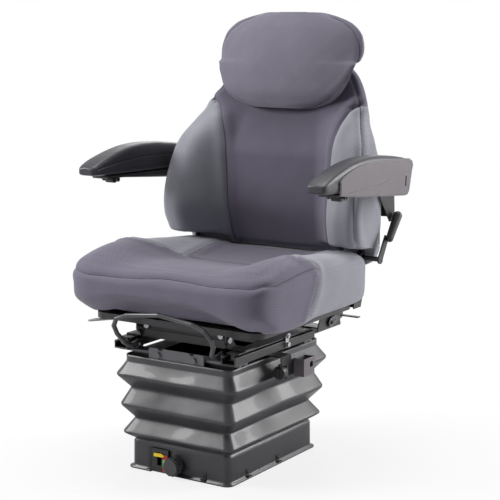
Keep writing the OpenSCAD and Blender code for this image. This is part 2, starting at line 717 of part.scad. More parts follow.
module seat_pan() {
    x = seat_pan_w / 2;
    color([0.1, 0.1, 0.1]) difference() {
        union() {
            difference() {
                translate([0, 8, seat_z - 12]) linear_extrude(12 + sheet_t) rounded(2 * x, seat_pan_d, 30);
                translate([0, 8, seat_z - 13]) linear_extrude(13) rounded(2 * x - 5, seat_pan_d - 5, 27.5);
            }
            // Hangers for the tilt pins
            both_sides() plate_x(123, 3) polygon([[tilt_y - 14, seat_z], [tilt_y + 26, seat_z],
                [tilt_y + 10, tilt_z - 8], [tilt_y - 2, tilt_z - 11], [tilt_y - 11, tilt_z - 4]]);
            // Hangers for the latch bolts
            both_sides() plate_x(hanger_x, 3) polygon([[latch_y - 26, seat_z], [latch_y + 26, seat_z],
                [latch_y + 9, latch_z - 8], [latch_y - 9, latch_z - 8]]);
        }
        rod_x(-130, 130, tilt_y, tilt_z, tilt_pin_dia + 2 * run);
        rod_x(-hanger_x - 10, hanger_x + 10, latch_y, latch_z, latch_dia + 0.04);
        // Holes that lighten the plate
        for (y = [-110, 10, 130]) translate([0, y, seat_z - 1])
            linear_extrude(sheet_t + 2) rounded(200, 60, 20);
        for (sx = [-1, 1]) translate([sx * (x - 67), 10, seat_z - 1]) linear_extrude(sheet_t + 2) rounded(40, 180, 15);
    }
}
module tilt_pins() {
    color([0.7, 0.7, 0.72]) both_sides() {
        rod_x(117, 129, tilt_y, tilt_z, tilt_pin_dia);
        rod_x(126.02, 130, tilt_y, tilt_z, 15);
    }
    color([0.7, 0.7, 0.72]) tilt_handle_post();
}
// Latch bolts move with the seat pan, through the quadrants
module latch_bolts() {
    both_sides() {
        rod_x(hanger_x - 5, hanger_x, latch_y, latch_z, 14);
        rod_x(hanger_x - 1, quadrant_x + 13, latch_y, latch_z, latch_dia);
    }
}
module recliner_lower() {
    color([0.09, 0.09, 0.09]) {
        both_sides() difference() {
            plate_x(lower_plate_x, plate_t) union() {
                translate([recline_y, recline_z]) circle(r = 20);
                polygon([[recline_y - 20, recline_z], [recline_y + 20, recline_z], [recline_y + 20, 400],
                    [recline_y + 4, seat_z - 12], [recline_y - 30, seat_z - 12], [recline_y - 30, seat_z]]);
            }
            rod_x(lower_plate_x - 1, lower_plate_x + 5, recline_y, recline_z, recline_dia + 2 * run);
        }
        // Rear beam below the recliners
        box([-lower_plate_x - eps, 221.02, seat_z - 12], [lower_plate_x + eps, 226, seat_z + sheet_t]);
        latch_bolts();
    }
}
module tilt_lever() {
    x = quadrant_x + 6;
    color([0.75, 0.75, 0.76]) difference() {
        union() {
            plate_x(x, 3) union() {
                translate([latch_y, latch_z]) circle(r = 11);
                polygon([[latch_y, latch_z - 9], [latch_y + 52, latch_z + 4], [latch_y + 56, latch_z + 20],
                    [latch_y + 40, latch_z + 22], [latch_y - 4, latch_z + 10]]);
            }
            box([x, latch_y + 44, latch_z + 8], [x + 50, latch_y + 56, latch_z + 11]);
        }
        rod_x(x - 1, x + 4, latch_y, latch_z, latch_dia + 2 * run);
    }
}
handle_post = [44 - seat_pan_w / 2, -150];
module tilt_handle() {
    color([0.75, 0.75, 0.76]) difference() {
        union() {
            translate([0, 0, seat_z - 20]) linear_extrude(3) hull() {
                translate(handle_post) circle(r = 10);
                translate([-225, -196]) circle(r = 8);
                translate([-231, -216]) circle(r = 5);
            }
        }
        translate([handle_post[0], handle_post[1], seat_z - 21]) cylinder(h = 5, d = 8 + 2 * run);
    }
}
module tilt_handle_post() {
    translate([handle_post[0], handle_post[1], seat_z - 22]) cylinder(h = 22, d = 8);
    translate([handle_post[0], handle_post[1], seat_z - 23.5]) cylinder(h = 3, d = 14);
    translate([handle_post[0], handle_post[1], seat_z - 16.5]) cylinder(h = 4, d = 14);
}

// Seat cushion

cushion_y = [-262, 227];
top_bolster = [[-262, 500], [-200, 520], [-94, 524], [0, 512], [100, 504], [227, 499]];
top_middle = [[-262, 486], [-200, 496], [-94, 486], [0, 474], [100, 471], [180, 480], [227, 489]];
under_side = [[-262, 349], [-200, 350], [0, 362], [228, 364]];
under_middle = [[-262, 404], [-225, 396], [-190, 366], [228, 364]];
function cushion_top(x, y) = let (u = abs(x) / cushion_half_w)
    table(top_middle, y) + (table(top_bolster, y) - table(top_middle, y)) * smooth((u - 0.35) / 0.5);
function cushion_under(x, y) = let (u = abs(x) / cushion_half_w)
    max(table(under_side, y), table(under_middle, y) * (1 - smooth((u - 0.3) / 0.5))
        + table(under_side, y) * smooth((u - 0.3) / 0.5), u < seat_pan_w / 2 / cushion_half_w
        && y > -203 ? seat_z + sheet_t + fit : 0);
function cushion_ring(v) = let (
    y = (cushion_y[0] + cushion_y[1]) / 2 + v * (cushion_y[1] - cushion_y[0]) / 2,
    kx = v < 0 ? end_scale(v, 4.5) : end_scale(v, 14),
    kz = end_scale(v, v < 0 ? 3.2 : 9))
    [for (i = [0:55]) let (p = round_sq(360 * i / 56, 4), x = cushion_half_w * kx * p[0],
        t = cushion_top(x, y), b = cushion_under(x, y))
        [x, y, (t + b) / 2 + p[1] * kz * (t - b) / 2]];
module seat_cushion() {
    color([0.33, 0.31, 0.36]) difference() {
        loft([for (v = places(22)) cushion_ring(-v)]);
        // Seat for the pan and slots for the recliner plates
        translate([0, 8, seat_z - 13]) linear_extrude(13 + sheet_t + fit) rounded(seat_pan_w + 1, seat_pan_d + 1, 30);
        both_sides() box([lower_plate_x - 3, recline_y - 32, 300], [lower_plate_x + plate_t + 3, 260, 560]);
        box([-lower_plate_x, 220, 300], [lower_plate_x, 260, seat_z + sheet_t + fit]);
    }
}

// Back

back_z = [452, 935];
back_w = [[452, 266], [512, 274], [560, 281], [620, 282], [690, 277], [745, 262], [790, 241], [832, 220],
    [880, 198], [910, 182], [935, 170]];
back_front = [[452, 245], [478, 244.5], [500, 232], [600, 214], [706, 217], [760, 234], [832, 262], [880, 284], [935, 306]];
back_bolster = [[452, 245], [478, 244.5], [506, 237], [514, 172], [524, 138], [585, 119], [634, 130], [682, 146],
    [744, 168], [790, 205], [832, 252], [880, 282], [935, 306]];
back_rear = [[452, 268], [520, 286], [720, 290], [790, 306], [832, 322], [880, 336], [935, 350]];
function back_f(x, z) = let (u = abs(x) / table(back_w, z))
    table(back_front, z) + (table(back_bolster, z) - table(back_front, z)) * smooth((u - 0.42) / 0.42);
function back_r(x, z) = table(back_rear, z) + 10 * (1 - pow(abs(x) / table(back_w, z), 2));
function back_ring(v) = let (
    z = (back_z[0] + back_z[1]) / 2 + v * (back_z[1] - back_z[0]) / 2,
    kx = v > 0 ? end_scale(v, 9) : end_scale(v, 16), ky = end_scale(v, v > 0 ? 7 : 9))
    [for (i = [0:55]) let (p = round_sq(360 * i / 56, 4), x = table(back_w, z) * kx * p[0],
        f = back_f(x, z), r = back_r(x, z)) [x, (f + r) / 2 + p[1] * ky * (r - f) / 2, z]];
// Heights of the back's sections, closer where the side bolsters start
back_steps = [-0.999, -0.99, -0.93, -0.84, -0.77, -0.745, -0.7, -0.62, -0.52, -0.4, -0.28, -0.16, -0.04,
    0.08, 0.2, 0.32, 0.44, 0.56, 0.68, 0.78, 0.87, 0.94, 0.98, 0.999];

// The posts lean back: a line through this point at this lean
post_foot = [318.5, 917];
post_lean = 10;
module along_post(x, s0, s1, d) {
    translate([x, post_foot[0], post_foot[1]]) rotate([-post_lean, 0, 0])
        translate([0, 0, s0]) cylinder(h = s1 - s0, d = d);
}
tube_dia = post_dia + 6;
tube_low = -150;
tube_top = 14;
post_low = -140;
post_top = 62;
module back_cushion() {
    color([0.36, 0.34, 0.39]) difference() {
        loft([for (v = back_steps) back_ring(v)]);
        for (sx = [-1, 1]) along_post(sx * post_gap / 2, tube_low - 5, 60, tube_dia + 2 * fit);
        rod_x(-300, 300, recline_y, recline_z, recline_dia + 3);
        // Slots for the recliner plates
        both_sides() box([lower_plate_x - 3, 150, 440], [upper_plate_x + plate_t + 3, 330, 505]);
    }
}

// Moulded shell that closes the rear of the back
shell_z = [515, 900];
function shell_half(z) = table(back_w, z) - 26 - 14 * pow(abs((z - 707) / 193), 6);
module back_shell() {
    cols = 16;
    rows = 16;
    rings = [for (j = [0:rows]) let (z = shell_z[0] + (shell_z[1] - shell_z[0]) * j / rows, w = shell_half(z))
        concat(
            [for (i = [0:cols]) let (x = -w + 2 * w * i / cols) [x, back_r(x, z) + 1.6, z]],
            [for (i = [cols:-1:0]) let (x = -w + 2 * w * i / cols, e = pow(abs(x) / w, 4))
                [x, back_r(x, z) + 1.6 + shell_t + 10 * (1 - e) * (1 - pow(abs((z - 707) / 193), 4)), z]])];
    color([0.1, 0.1, 0.11]) difference() {
        loft(rings);
        for (sx = [-1, 1]) along_post(sx * post_gap / 2, tube_low - 5, 60, tube_dia + 2 * fit);
    }
}
module post_tubes() {
    color([0.1, 0.1, 0.1]) for (sx = [-1, 1]) difference() {
        along_post(sx * post_gap / 2, tube_low, tube_top, tube_dia);
        along_post(sx * post_gap / 2, tube_low - 1, tube_top + 1, post_dia + 2 * run);
    }
}
module recliner_upper() {
    color([0.09, 0.09, 0.09]) both_sides() difference() {
        plate_x(upper_plate_x, plate_t) union() {
            translate([recline_y, recline_z]) circle(r = 14);
            polygon([[recline_y - 6, recline_z + 19], [recline_y + 30, recline_z + 26.5],
                [301, recline_z + 26.5], [301, 612], [322, 612], [322, recline_z + 20],
                [recline_y + 40, recline_z - 4], [recline_y + 10, recline_z - 17]]);
        }
        rod_x(upper_plate_x - 1, upper_plate_x + 5, recline_y, recline_z, recline_dia + 2 * run);
    }
    // Flanges that bolt the arms to the rear shell
    color([0.09, 0.09, 0.09]) both_sides() box([upper_plate_x - 28, 303, 518], [upper_plate_x + eps, 306, 606]);
}
lever_x = arm_in - 2;
module recline_shaft() {
    color([0.6, 0.6, 0.62]) rod_x(-upper_plate_x - plate_t - 4, lever_x, recline_y, recline_z, recline_dia);
}
module recline_lever() {
    color([0.12, 0.12, 0.13]) {
        plate_x(lever_x + 0.02, 4) union() {
            translate([recline_y, recline_z]) circle(r = 11);
            polygon([[recline_y - 8, recline_z + 6], [recline_y + 6, recline_z - 8], [recline_y + 38, 520],
                [recline_y + 24, 532]]);
        }
        translate([lever_x + 12, recline_y + 28, 524]) rotate([-38, 0, 0]) {
            cylinder(h = 64, d1 = 18, d2 = 22);
            translate([0, 0, 64]) sphere(d = 22, $fn = 28);
            sphere(d = 18, $fn = 28);
        }
    }
}

// Armrests

bracket_x = arm_in - 6.5;
module armrest_brackets() {
    color([0.11, 0.11, 0.11]) both_sides() {
        difference() {
            plate_x(bracket_x, plate_t) union() {
                translate([rest_y, rest_z]) circle(r = 15);
                polygon([[rest_y - 15, rest_z], [rest_y + 15, rest_z], [312, 620], [316, 564], [290, 560],
                    [240, 622]]);
            }
            rod_x(bracket_x - 1, bracket_x + 5, rest_y, rest_z, recline_dia + 0.04);
        }
        // Arm that carries the bracket from the back's frame
        box([upper_plate_x + plate_t + 0.02, 303, 570], [bracket_x + eps, 311, 604]);
    }
}
module armrest_pins() {
    color([0.7, 0.7, 0.72]) both_sides() {
        rod_x(bracket_x - 4, arm_in + rest_w - 10, rest_y, rest_z, recline_dia);
        rod_x(bracket_x - 7, bracket_x - 0.02, rest_y, rest_z, 20);
    }
}
pad_top = [[-117, 694], [-80, 708], [-48, 717], [-4, 727], [45, 734], [90, 736], [135, 735], [190, 730],
    [232, 725], [290, 716]];
pad_under = [[-117, 670], [-20, 667], [290, 661]];
cover_t = 4;
pad_w = rest_w - cover_t - 0.5;
module armrest_pad() {
    ym = (290 - 117) / 2;
    yh = (290 + 117) / 2;
    rings = [for (v = places(17)) let (y = ym + v * yh, kx = v < 0 ? end_scale(v, 9) : end_scale(v, 15),
        kz = v < 0 ? end_scale(v, 7) : end_scale(v, 15), t = table(pad_top, y), b = table(pad_under, y))
        [for (i = [0:31]) let (p = round_sq(360 * (i + 0.3) / 32, 5))
            [arm_in + pad_w / 2 + p[0] * kx * pad_w / 2, y, (t + b) / 2 + p[1] * kz * (t - b) / 2]]];
    color([0.13, 0.13, 0.14]) loft([for (i = [len(rings) - 1:-1:0]) rings[i]]);
}
// Outline of the side cover in the YZ plane, with a step or a margin taken off all round
cover_line = [[-60, 664], [36, 652], [247, 633], [262, 634], [271, 643], [284, 690], [289, 702], [284, 712],
    [269, 719], [153, 726], [73, 726], [31, 723], [-5, 716], [-25, 711], [-45, 704], [-60, 696]];
module armrest_cover() {
    x = arm_in + rest_w - cover_t;
    color([0.42, 0.4, 0.4]) difference() {
        union() {
            plate_x(x, cover_t - 1.2) polygon(cover_line);
            plate_x(x, cover_t) offset(delta = -2.5) polygon(cover_line);
        }
        plate_x(x + 1.4, 4) polygon([[246, 656], [252, 655], [254, 678], [248, 680]]);
        // Shallow step that crosses the cover
        plate_x(x + cover_t - 0.8, 2) polygon([[-30, 665.5], [110, 669.5], [262, 687], [262, 688.6],
            [110, 671.5], [-30, 667.5]]);
    }
}
module armrest_frame() {
    x0 = arm_in + 3;
    x1 = arm_in + rest_w - cover_t - 4;
    color([0.1, 0.1, 0.1]) difference() {
        union() {
            for (x = [x0, x1 - 3]) plate_x(x, 3) union() {
                polygon([[-62, 666.5], [278, 660.5], [278, 650], [258, 636], [140, 652], [-20, 660],
                    [-62, 662]]);
                translate([rest_y, rest_z]) circle(r = 13.5);
                translate([wheel_y, wheel_z]) circle(r = 6);
            }
            plate_x(x0, x1 - x0) polygon([[-62, 666.5], [278, 660.5], [278, 658.5], [-62, 664.5]]);
            plate_x(x0, x1 - x0) polygon([[-62, 662], [-62, 666.5], [-59, 666.5], [-59, 660]]);
        }
        rod_x(x0 - 1, x1 + 1, rest_y, rest_z, recline_dia + 2 * run);
        box([x0 + 10, wheel_y - 15, 640], [x1 - 10, wheel_y + 15, 668]);
        rod_x(x0 - 1, x1 + 1, wheel_y, wheel_z, 5 + 2 * run);
    }
}
wheel_y = -20;
wheel_z = 656;
module armrest_wheel() {
    x0 = arm_in + 14;
    x1 = arm_in + rest_w - cover_t - 15;
    color([0.08, 0.08, 0.08]) {
        difference() {
            rod_x(x0, x1, wheel_y, wheel_z, 19);
            for (a = [0:30:330]) translate([0, wheel_y, wheel_z]) rotate([a, 0, 0])
                rod_x(x0 - 1, x1 + 1, 10.3, 0, 3.4, $fn = 16);
        }
        rod_x(x0 - 9, x1 + 9, wheel_y, wheel_z, 5);
    }
}
module armrest_pad_left() { mirror([1, 0, 0]) armrest_pad(); }
module armrest_pad_right() { armrest_pad(); }
module armrest_frame_left() { mirror([1, 0, 0]) armrest_frame(); }
module armrest_frame_right() { armrest_frame(); }
module armrest_cover_left() { mirror([1, 0, 0]) armrest_cover(); }
module armrest_cover_right() { armrest_cover(); }
module armrest_wheel_left() { mirror([1, 0, 0]) armrest_wheel(); }
module armrest_wheel_right() { armrest_wheel(); }

// Head restraint

head_z = [826, 1058];
head_w = [[826, 105], [850, 150], [885, 178], [930, 196], [968, 203], [1000, 196], [1030, 168], [1058, 95]];
head_front = [[826, 236], [860, 230], [900, 237], [965, 256], [1020, 276], [1058, 298]];
head_rear = [[826, 252], [850, 256], [900, 280], [932, 296], [944, 330], [965, 346], [1000, 348], [1035, 338],
    [1058, 318]];
function head_ring(v) = let (
    z = (head_z[0] + head_z[1]) / 2 + v * (head_z[1] - head_z[0]) / 2, w = table(head_w, z),
    k = end_scale(v, 12))
    [for (i = [0:39]) let (p = round_sq(360 * i / 40, 3.2), x = w * k * p[0],
        u = abs(x) / w, f = table(head_front, z) + 24 * pow(u, 2.6),
        r = max(f + 8, table(head_rear, z) - 22 * pow(u, 3)))
        [x, (f + r) / 2 + p[1] * k * (r - f) / 2, z]];
module head_cushion() {
    color([0.4, 0.38, 0.44]) difference() {
        loft([for (v = places(18)) head_ring(v)]);
        for (sx = [-1, 1]) along_post(sx * post_gap / 2, 0, post_top + 0.5, post_dia + 0.1);
    }
}
module head_posts() {
    color([0.7, 0.7, 0.72]) for (sx = [-1, 1])
        along_post(sx * post_gap / 2, post_low, post_top, post_dia);
}

base_pan();
base_tracks();
base_pivot_shaft();
gaiter();
gaiter_clips();
indicator_housing();
indicator_scale();
height_pointer();
weight_knob();
weight_spindle();
spring_seat();
suspension_springs();
damper_tube();
damper_rod();
outer_arms();
outer_shafts();
upper_rollers();
inner_arms();
inner_shaft();
lower_rollers();
upper_frame();
upper_tracks();
upper_pivot_shaft();
front_plate();
rail_crossbars();
lower_rails();
rail_stops();
isolator_bracket();
isolator_housing();
isolator_knob();
upper_rails();
rail_glides();
front_member();
rear_member();
member_bolts();
slide_handle();
seat_pan();
tilt_pins();
tilt_handle();
tilt_lever();
recliner_lower();
seat_cushion();
back_shell();
back_cushion();
post_tubes();
recliner_upper();
recline_lever();
recline_shaft();
armrest_brackets();
armrest_pins();
armrest_pad_left();
armrest_frame_left();
armrest_cover_left();
armrest_wheel_left();
armrest_pad_right();
armrest_frame_right();
armrest_cover_right();
armrest_wheel_right();
head_posts();
head_cushion();
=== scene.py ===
"""Looks of the suspension seat: cloth, foam, rubber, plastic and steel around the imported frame."""
import json
import math

import bpy
import numpy as np
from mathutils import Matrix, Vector
from mathutils.bvhtree import BVHTree


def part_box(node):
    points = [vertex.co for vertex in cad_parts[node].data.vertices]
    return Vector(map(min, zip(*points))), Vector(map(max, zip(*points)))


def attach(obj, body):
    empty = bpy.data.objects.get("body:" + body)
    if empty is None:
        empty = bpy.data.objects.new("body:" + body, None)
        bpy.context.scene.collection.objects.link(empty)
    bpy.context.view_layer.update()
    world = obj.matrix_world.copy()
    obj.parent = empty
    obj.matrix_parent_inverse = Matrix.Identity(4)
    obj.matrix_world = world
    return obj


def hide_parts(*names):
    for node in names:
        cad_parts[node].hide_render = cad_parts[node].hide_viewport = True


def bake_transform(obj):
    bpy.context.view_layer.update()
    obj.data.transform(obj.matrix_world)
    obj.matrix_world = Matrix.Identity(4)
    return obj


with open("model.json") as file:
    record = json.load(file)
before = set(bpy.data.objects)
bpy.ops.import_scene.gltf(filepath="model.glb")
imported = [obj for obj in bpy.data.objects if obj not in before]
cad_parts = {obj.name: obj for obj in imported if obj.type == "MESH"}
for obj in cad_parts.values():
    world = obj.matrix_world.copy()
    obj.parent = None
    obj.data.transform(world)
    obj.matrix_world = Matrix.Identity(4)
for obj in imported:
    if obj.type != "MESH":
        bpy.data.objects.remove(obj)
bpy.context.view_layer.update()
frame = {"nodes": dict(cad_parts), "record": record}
MM = 0.001


# Small helpers for curves and meshes

def smooth_step(t):
    u = np.clip(t, 0, 1)
    return u * u * (3 - 2 * u)


def bell(d, width):
    return np.exp(-(d / width) ** 2)


def table(points, at):
    """Smooth curve through a short list of (place, value) pairs."""
    p = np.array(points, float)
    x, y = p[:, 0], p[:, 1]
    h = np.diff(x)
    d = np.diff(y) / h
    turn = d[:-1] * d[1:] <= 0
    inner = np.where(turn, 0, 2 * d[:-1] * d[1:] / np.where(turn, 1, d[:-1] + d[1:]))
    m = np.concatenate([[d[0]], inner, [d[-1]]])
    at = np.clip(np.asarray(at, float), x[0], x[-1])
    i = np.clip(np.searchsorted(x, at, side="right") - 1, 0, len(x) - 2)
    t = (at - x[i]) / h[i]
    return ((2 * t**3 - 3 * t**2 + 1) * y[i] + (t**3 - 2 * t**2 + t) * h[i] * m[i]
            + (-2 * t**3 + 3 * t**2) * y[i + 1] + (t**3 - t**2) * h[i] * m[i + 1])


def ripple(co, size, amount, seed):
    """Gentle uneven waves that break up a perfect surface."""
    rng = np.random.default_rng(seed)
    out = np.zeros(len(co))
    for _ in range(7):
        direction = rng.normal(size=3)
        direction /= np.linalg.norm(direction)
        out += np.sin(co @ direction * 2 * math.pi / (size * rng.uniform(0.6, 1.6)) + rng.uniform(0, 6.3))
    return out / 7 * amount


def make_mesh(name, co, faces, groups=None, materials=()):
    """Mesh object from millimetre points; groups gives each face its material."""
    mesh = bpy.data.meshes.new(name)
    mesh.from_pydata((np.asarray(co) * MM).tolist(), [], [list(map(int, f)) for f in faces])
    for m in materials:
        mesh.materials.append(m)
    if groups is not None:
        mesh.polygons.foreach_set("material_index", np.asarray(groups, np.int32))
    mesh.polygons.foreach_set("use_smooth", [True] * len(mesh.polygons))
    mesh.update()
    obj = bpy.data.objects.new(name, mesh)
    bpy.context.scene.collection.objects.link(obj)
    return obj


def rings_mesh(rings):
    """Points and quads of closed rings joined one after another, and the two end faces."""
    m, n = rings.shape[:2]
    j, i = np.meshgrid(np.arange(m - 1), np.arange(n), indexing="ij")
    k = (i + 1) % n
    faces = np.stack([j * n + i, j * n + k, (j + 1) * n + k, (j + 1) * n + i], -1).reshape(-1, 4)
    ends = [list(range(n))[::-1], [(m - 1) * n + q for q in range(n)]]
    return rings.reshape(-1, 3), faces, ends


def ring_point(a, m):
    """Point of a rounded unit square at an angle."""
    r = (np.abs(np.cos(a)) ** m + np.abs(np.sin(a)) ** m) ** (-1 / m)
    return r * np.cos(a), r * np.sin(a)


def even_ring(count, m):
    """Angles that space a rounded rectangle's points evenly."""
    a = np.linspace(0, 2 * math.pi, 4001)
    x, y = ring_point(a, m)
    length = np.concatenate([[0], np.cumsum(np.hypot(np.diff(x), np.diff(y)))])
    return np.interp(np.arange(count) / count * length[-1], length, a)


def stations(front, rear, along, across):
    """Places from -1 to 1 that are dense where the ends close in, with exponents front and rear."""
    t = np.linspace(0, 1, across)
    close = [(-1, front), (1, rear)]
    parts = [side * (1 - (1 - t) ** m) ** (1 / m) for side, m in close]
    return np.unique(np.round(np.concatenate([np.linspace(-0.95, 0.95, along)] + parts), 5))


def normals_of(co, faces):
    f = np.asarray(faces)
    n = np.cross(co[f[:, 2]] - co[f[:, 0]], co[f[:, 3]] - co[f[:, 1]])
    out = np.zeros_like(co)
    for k in range(4):
        np.add.at(out, f[:, k], n)
    return out / np.maximum(np.linalg.norm(out, axis=1), 1e-9)[:, None]


def path_distance(co, path):
    """Distance of every point to a line through the path's points."""
    best = np.full(len(co), 1e9)
    for a, b in zip(path[:-1], path[1:]):
        d = b - a
        t = np.clip(((co - a) @ d) / max(d @ d, 1e-9), 0, 1)
        best = np.minimum(best, np.linalg.norm(co - a - t[:, None] * d, axis=1))
    return best


def on_surface(co, faces, path, step=6):
    """The path moved onto the surface, with points every few millimetres."""
    tree = BVHTree.FromPolygons([Vector(c) for c in co], [list(map(int, f)) for f in faces])
    out = []
    for a, b in zip(path[:-1], path[1:]):
        k = max(1, int(np.linalg.norm(b - a) / step))
        for i in range(k):
            out.append(np.array(tree.find_nearest(Vector(a + (b - a) * i / k))[0]))
    out.append(np.array(tree.find_nearest(Vector(path[-1]))[0]))
    out = np.array(out)
    for _ in range(3):
        out[1:-1] = (out[:-2] + 2 * out[1:-1] + out[2:]) / 4
    return out


def moved_with(path, before, after):
    """Path points carried along with the surface as it was pushed about."""
    out = []
    for q in path:
        d = np.linalg.norm(before - q, axis=1)
        near = np.argpartition(d, 5)[:5]
        w = 1 / (d[near] + 0.5)
        out.append(q + ((after - before)[near] * w[:, None]).sum(0) / w.sum())
    return np.array(out)


def stitched(name, lines, before, after, body):
    """Dark seam thread in the groove of every line."""
    for k, line in enumerate(lines):
        thread = tube(f"{name}_{k}", moved_with(line, before, after), 0.65, M["thread"], sides=6)
        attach(thread, body)


def tube(name, path, radius, material, sides=8):
    """Round thread or rod along a path in millimetres."""
    path = np.asarray(path, float)
    t = np.gradient(path, axis=0)
    t /= np.maximum(np.linalg.norm(t, axis=1), 1e-9)[:, None]
    ref = np.array([0.13, 0.92, 0.37])
    u = np.cross(t, ref)
    u /= np.maximum(np.linalg.norm(u, axis=1), 1e-9)[:, None]
    w = np.cross(t, u)
    a = np.arange(sides) * 2 * math.pi / sides
    across = np.cos(a)[None, :, None] * u[:, None] + np.sin(a)[None, :, None] * w[:, None]
    rings = path[:, None] + radius * across
    n = len(path)
    faces = [[j * sides + i, j * sides + (i + 1) % sides, (j + 1) * sides + (i + 1) % sides, (j + 1) * sides + i]
             for j in range(n - 1) for i in range(sides)]
    co = rings.reshape(-1, 3)
    caps = [list(range(sides))[::-1], [(n - 1) * sides + i for i in range(sides)]]
    return make_mesh(name, co, faces + caps, None, [material])


# Materials

def shader(name):
    m = bpy.data.materials.new(name)
    m.use_nodes = True
    nodes, links = m.node_tree.nodes, m.node_tree.links
    return m, nodes, links, nodes["Principled BSDF"]


def add(nodes, kind, **values):
    node = nodes.new(kind)
    for key, value in values.items():
        if key in node.inputs:
            node.inputs[key].default_value = value
        else:
            setattr(node, key, value)
    return node


def mottled(nodes, links, colour, spread, scale, detail=4):
    """A colour that wanders a little over the surface."""
    where = add(nodes, "ShaderNodeTexCoord")
    noise = add(nodes, "ShaderNodeTexNoise", Scale=scale, Detail=detail, Roughness=0.6)
    links.new(where.outputs["Object"], noise.inputs["Vector"])
    ramp = add(nodes, "ShaderNodeValToRGB")
    ramp.color_ramp.elements[0].position = 0.3
    ramp.color_ramp.elements[1].position = 0.7
    ramp.color_ramp.elements[0].color = [c * (1 - spread) for c in colour] + [1]
    ramp.color_ramp.elements[1].color = [min(1, c * (1 + spread)) for c in colour] + [1]
    links.new(noise.outputs["Fac"], ramp.inputs["Fac"])
    return where, noise, ramp


def cloth(name, colour, pitch=0.0052, contrast=0.05, depth=0.35, sheen=0.15):
    """Flat woven cloth: a faint diagonal rib, fine threads under it and a little melange."""
    m, nodes, links, bsdf = shader(name)
    where, _, ramp = mottled(nodes, links, colour, 0.05, 16)
    fine = add(nodes, "ShaderNodeTexNoise", Scale=700, Detail=3, Roughness=0.7)
    links.new(where.outputs["Object"], fine.inputs["Vector"])
    spin = add(nodes, "ShaderNodeMapping")
    spin.inputs["Rotation"].default_value = (0.5, 0.9, 0.4)
    links.new(where.outputs["Object"], spin.inputs["Vector"])
    rib = add(nodes, "ShaderNodeTexWave", Scale=0.314 / pitch, Distortion=1.5, Detail=3)
    rib.inputs["Detail Scale"].default_value = 4
    links.new(spin.outputs["Vector"], rib.inputs["Vector"])
    height = add(nodes, "ShaderNodeMix", data_type="FLOAT")
    height.inputs["Factor"].default_value = 0.55
    links.new(rib.outputs["Fac"], height.inputs["A"])
    links.new(fine.outputs["Fac"], height.inputs["B"])
    tint = add(nodes, "ShaderNodeValToRGB")
    tint.color_ramp.elements[0].color = (1 - contrast,) * 3 + (1,)
    tint.color_ramp.elements[1].color = (1 + contrast,) * 3 + (1,)
    tint.color_ramp.elements[0].position = 0.25
    tint.color_ramp.elements[1].position = 0.75
    links.new(height.outputs["Result"], tint.inputs["Fac"])
    mix = add(nodes, "ShaderNodeMix", data_type="RGBA", blend_type="MULTIPLY")
    mix.inputs["Factor"].default_value = 1
    links.new(ramp.outputs["Color"], mix.inputs["A"])
    links.new(tint.outputs["Color"], mix.inputs["B"])
    links.new(mix.outputs["Result"], bsdf.inputs["Base Color"])
    bump = add(nodes, "ShaderNodeBump", Strength=depth, Distance=0.0008)
    links.new(height.outputs["Result"], bump.inputs["Height"])
    links.new(bump.outputs["Normal"], bsdf.inputs["Normal"])
    bsdf.inputs["Roughness"].default_value = 0.85
    bsdf.inputs["Sheen Weight"].default_value = sheen
    bsdf.inputs["Sheen Roughness"].default_value = 0.5
    return m


def solid(name, colour, rough, metal=0.0, spread=0.08, scale=30, grain=0.15, grain_scale=260, coat=0.0):
    """Paint, plastic, rubber or bare metal with a fine grain and worn gloss."""
    m, nodes, links, bsdf = shader(name)
    where, noise, ramp = mottled(nodes, links, colour, spread, scale)
    links.new(ramp.outputs["Color"], bsdf.inputs["Base Color"])
    gloss = add(nodes, "ShaderNodeMapRange")
    gloss.inputs["To Min"].default_value = max(0.05, rough - 0.07)
    gloss.inputs["To Max"].default_value = min(1, rough + 0.07)
    links.new(noise.outputs["Fac"], gloss.inputs["Value"])
    links.new(gloss.outputs["Result"], bsdf.inputs["Roughness"])
    fine = add(nodes, "ShaderNodeTexNoise", Scale=grain_scale, Detail=3)
    links.new(where.outputs["Object"], fine.inputs["Vector"])
    bump = add(nodes, "ShaderNodeBump", Strength=grain, Distance=0.0005)
    links.new(fine.outputs["Fac"], bump.inputs["Height"])
    links.new(bump.outputs["Normal"], bsdf.inputs["Normal"])
    bsdf.inputs["Metallic"].default_value = metal
    bsdf.inputs["Coat Weight"].default_value = coat
    return m


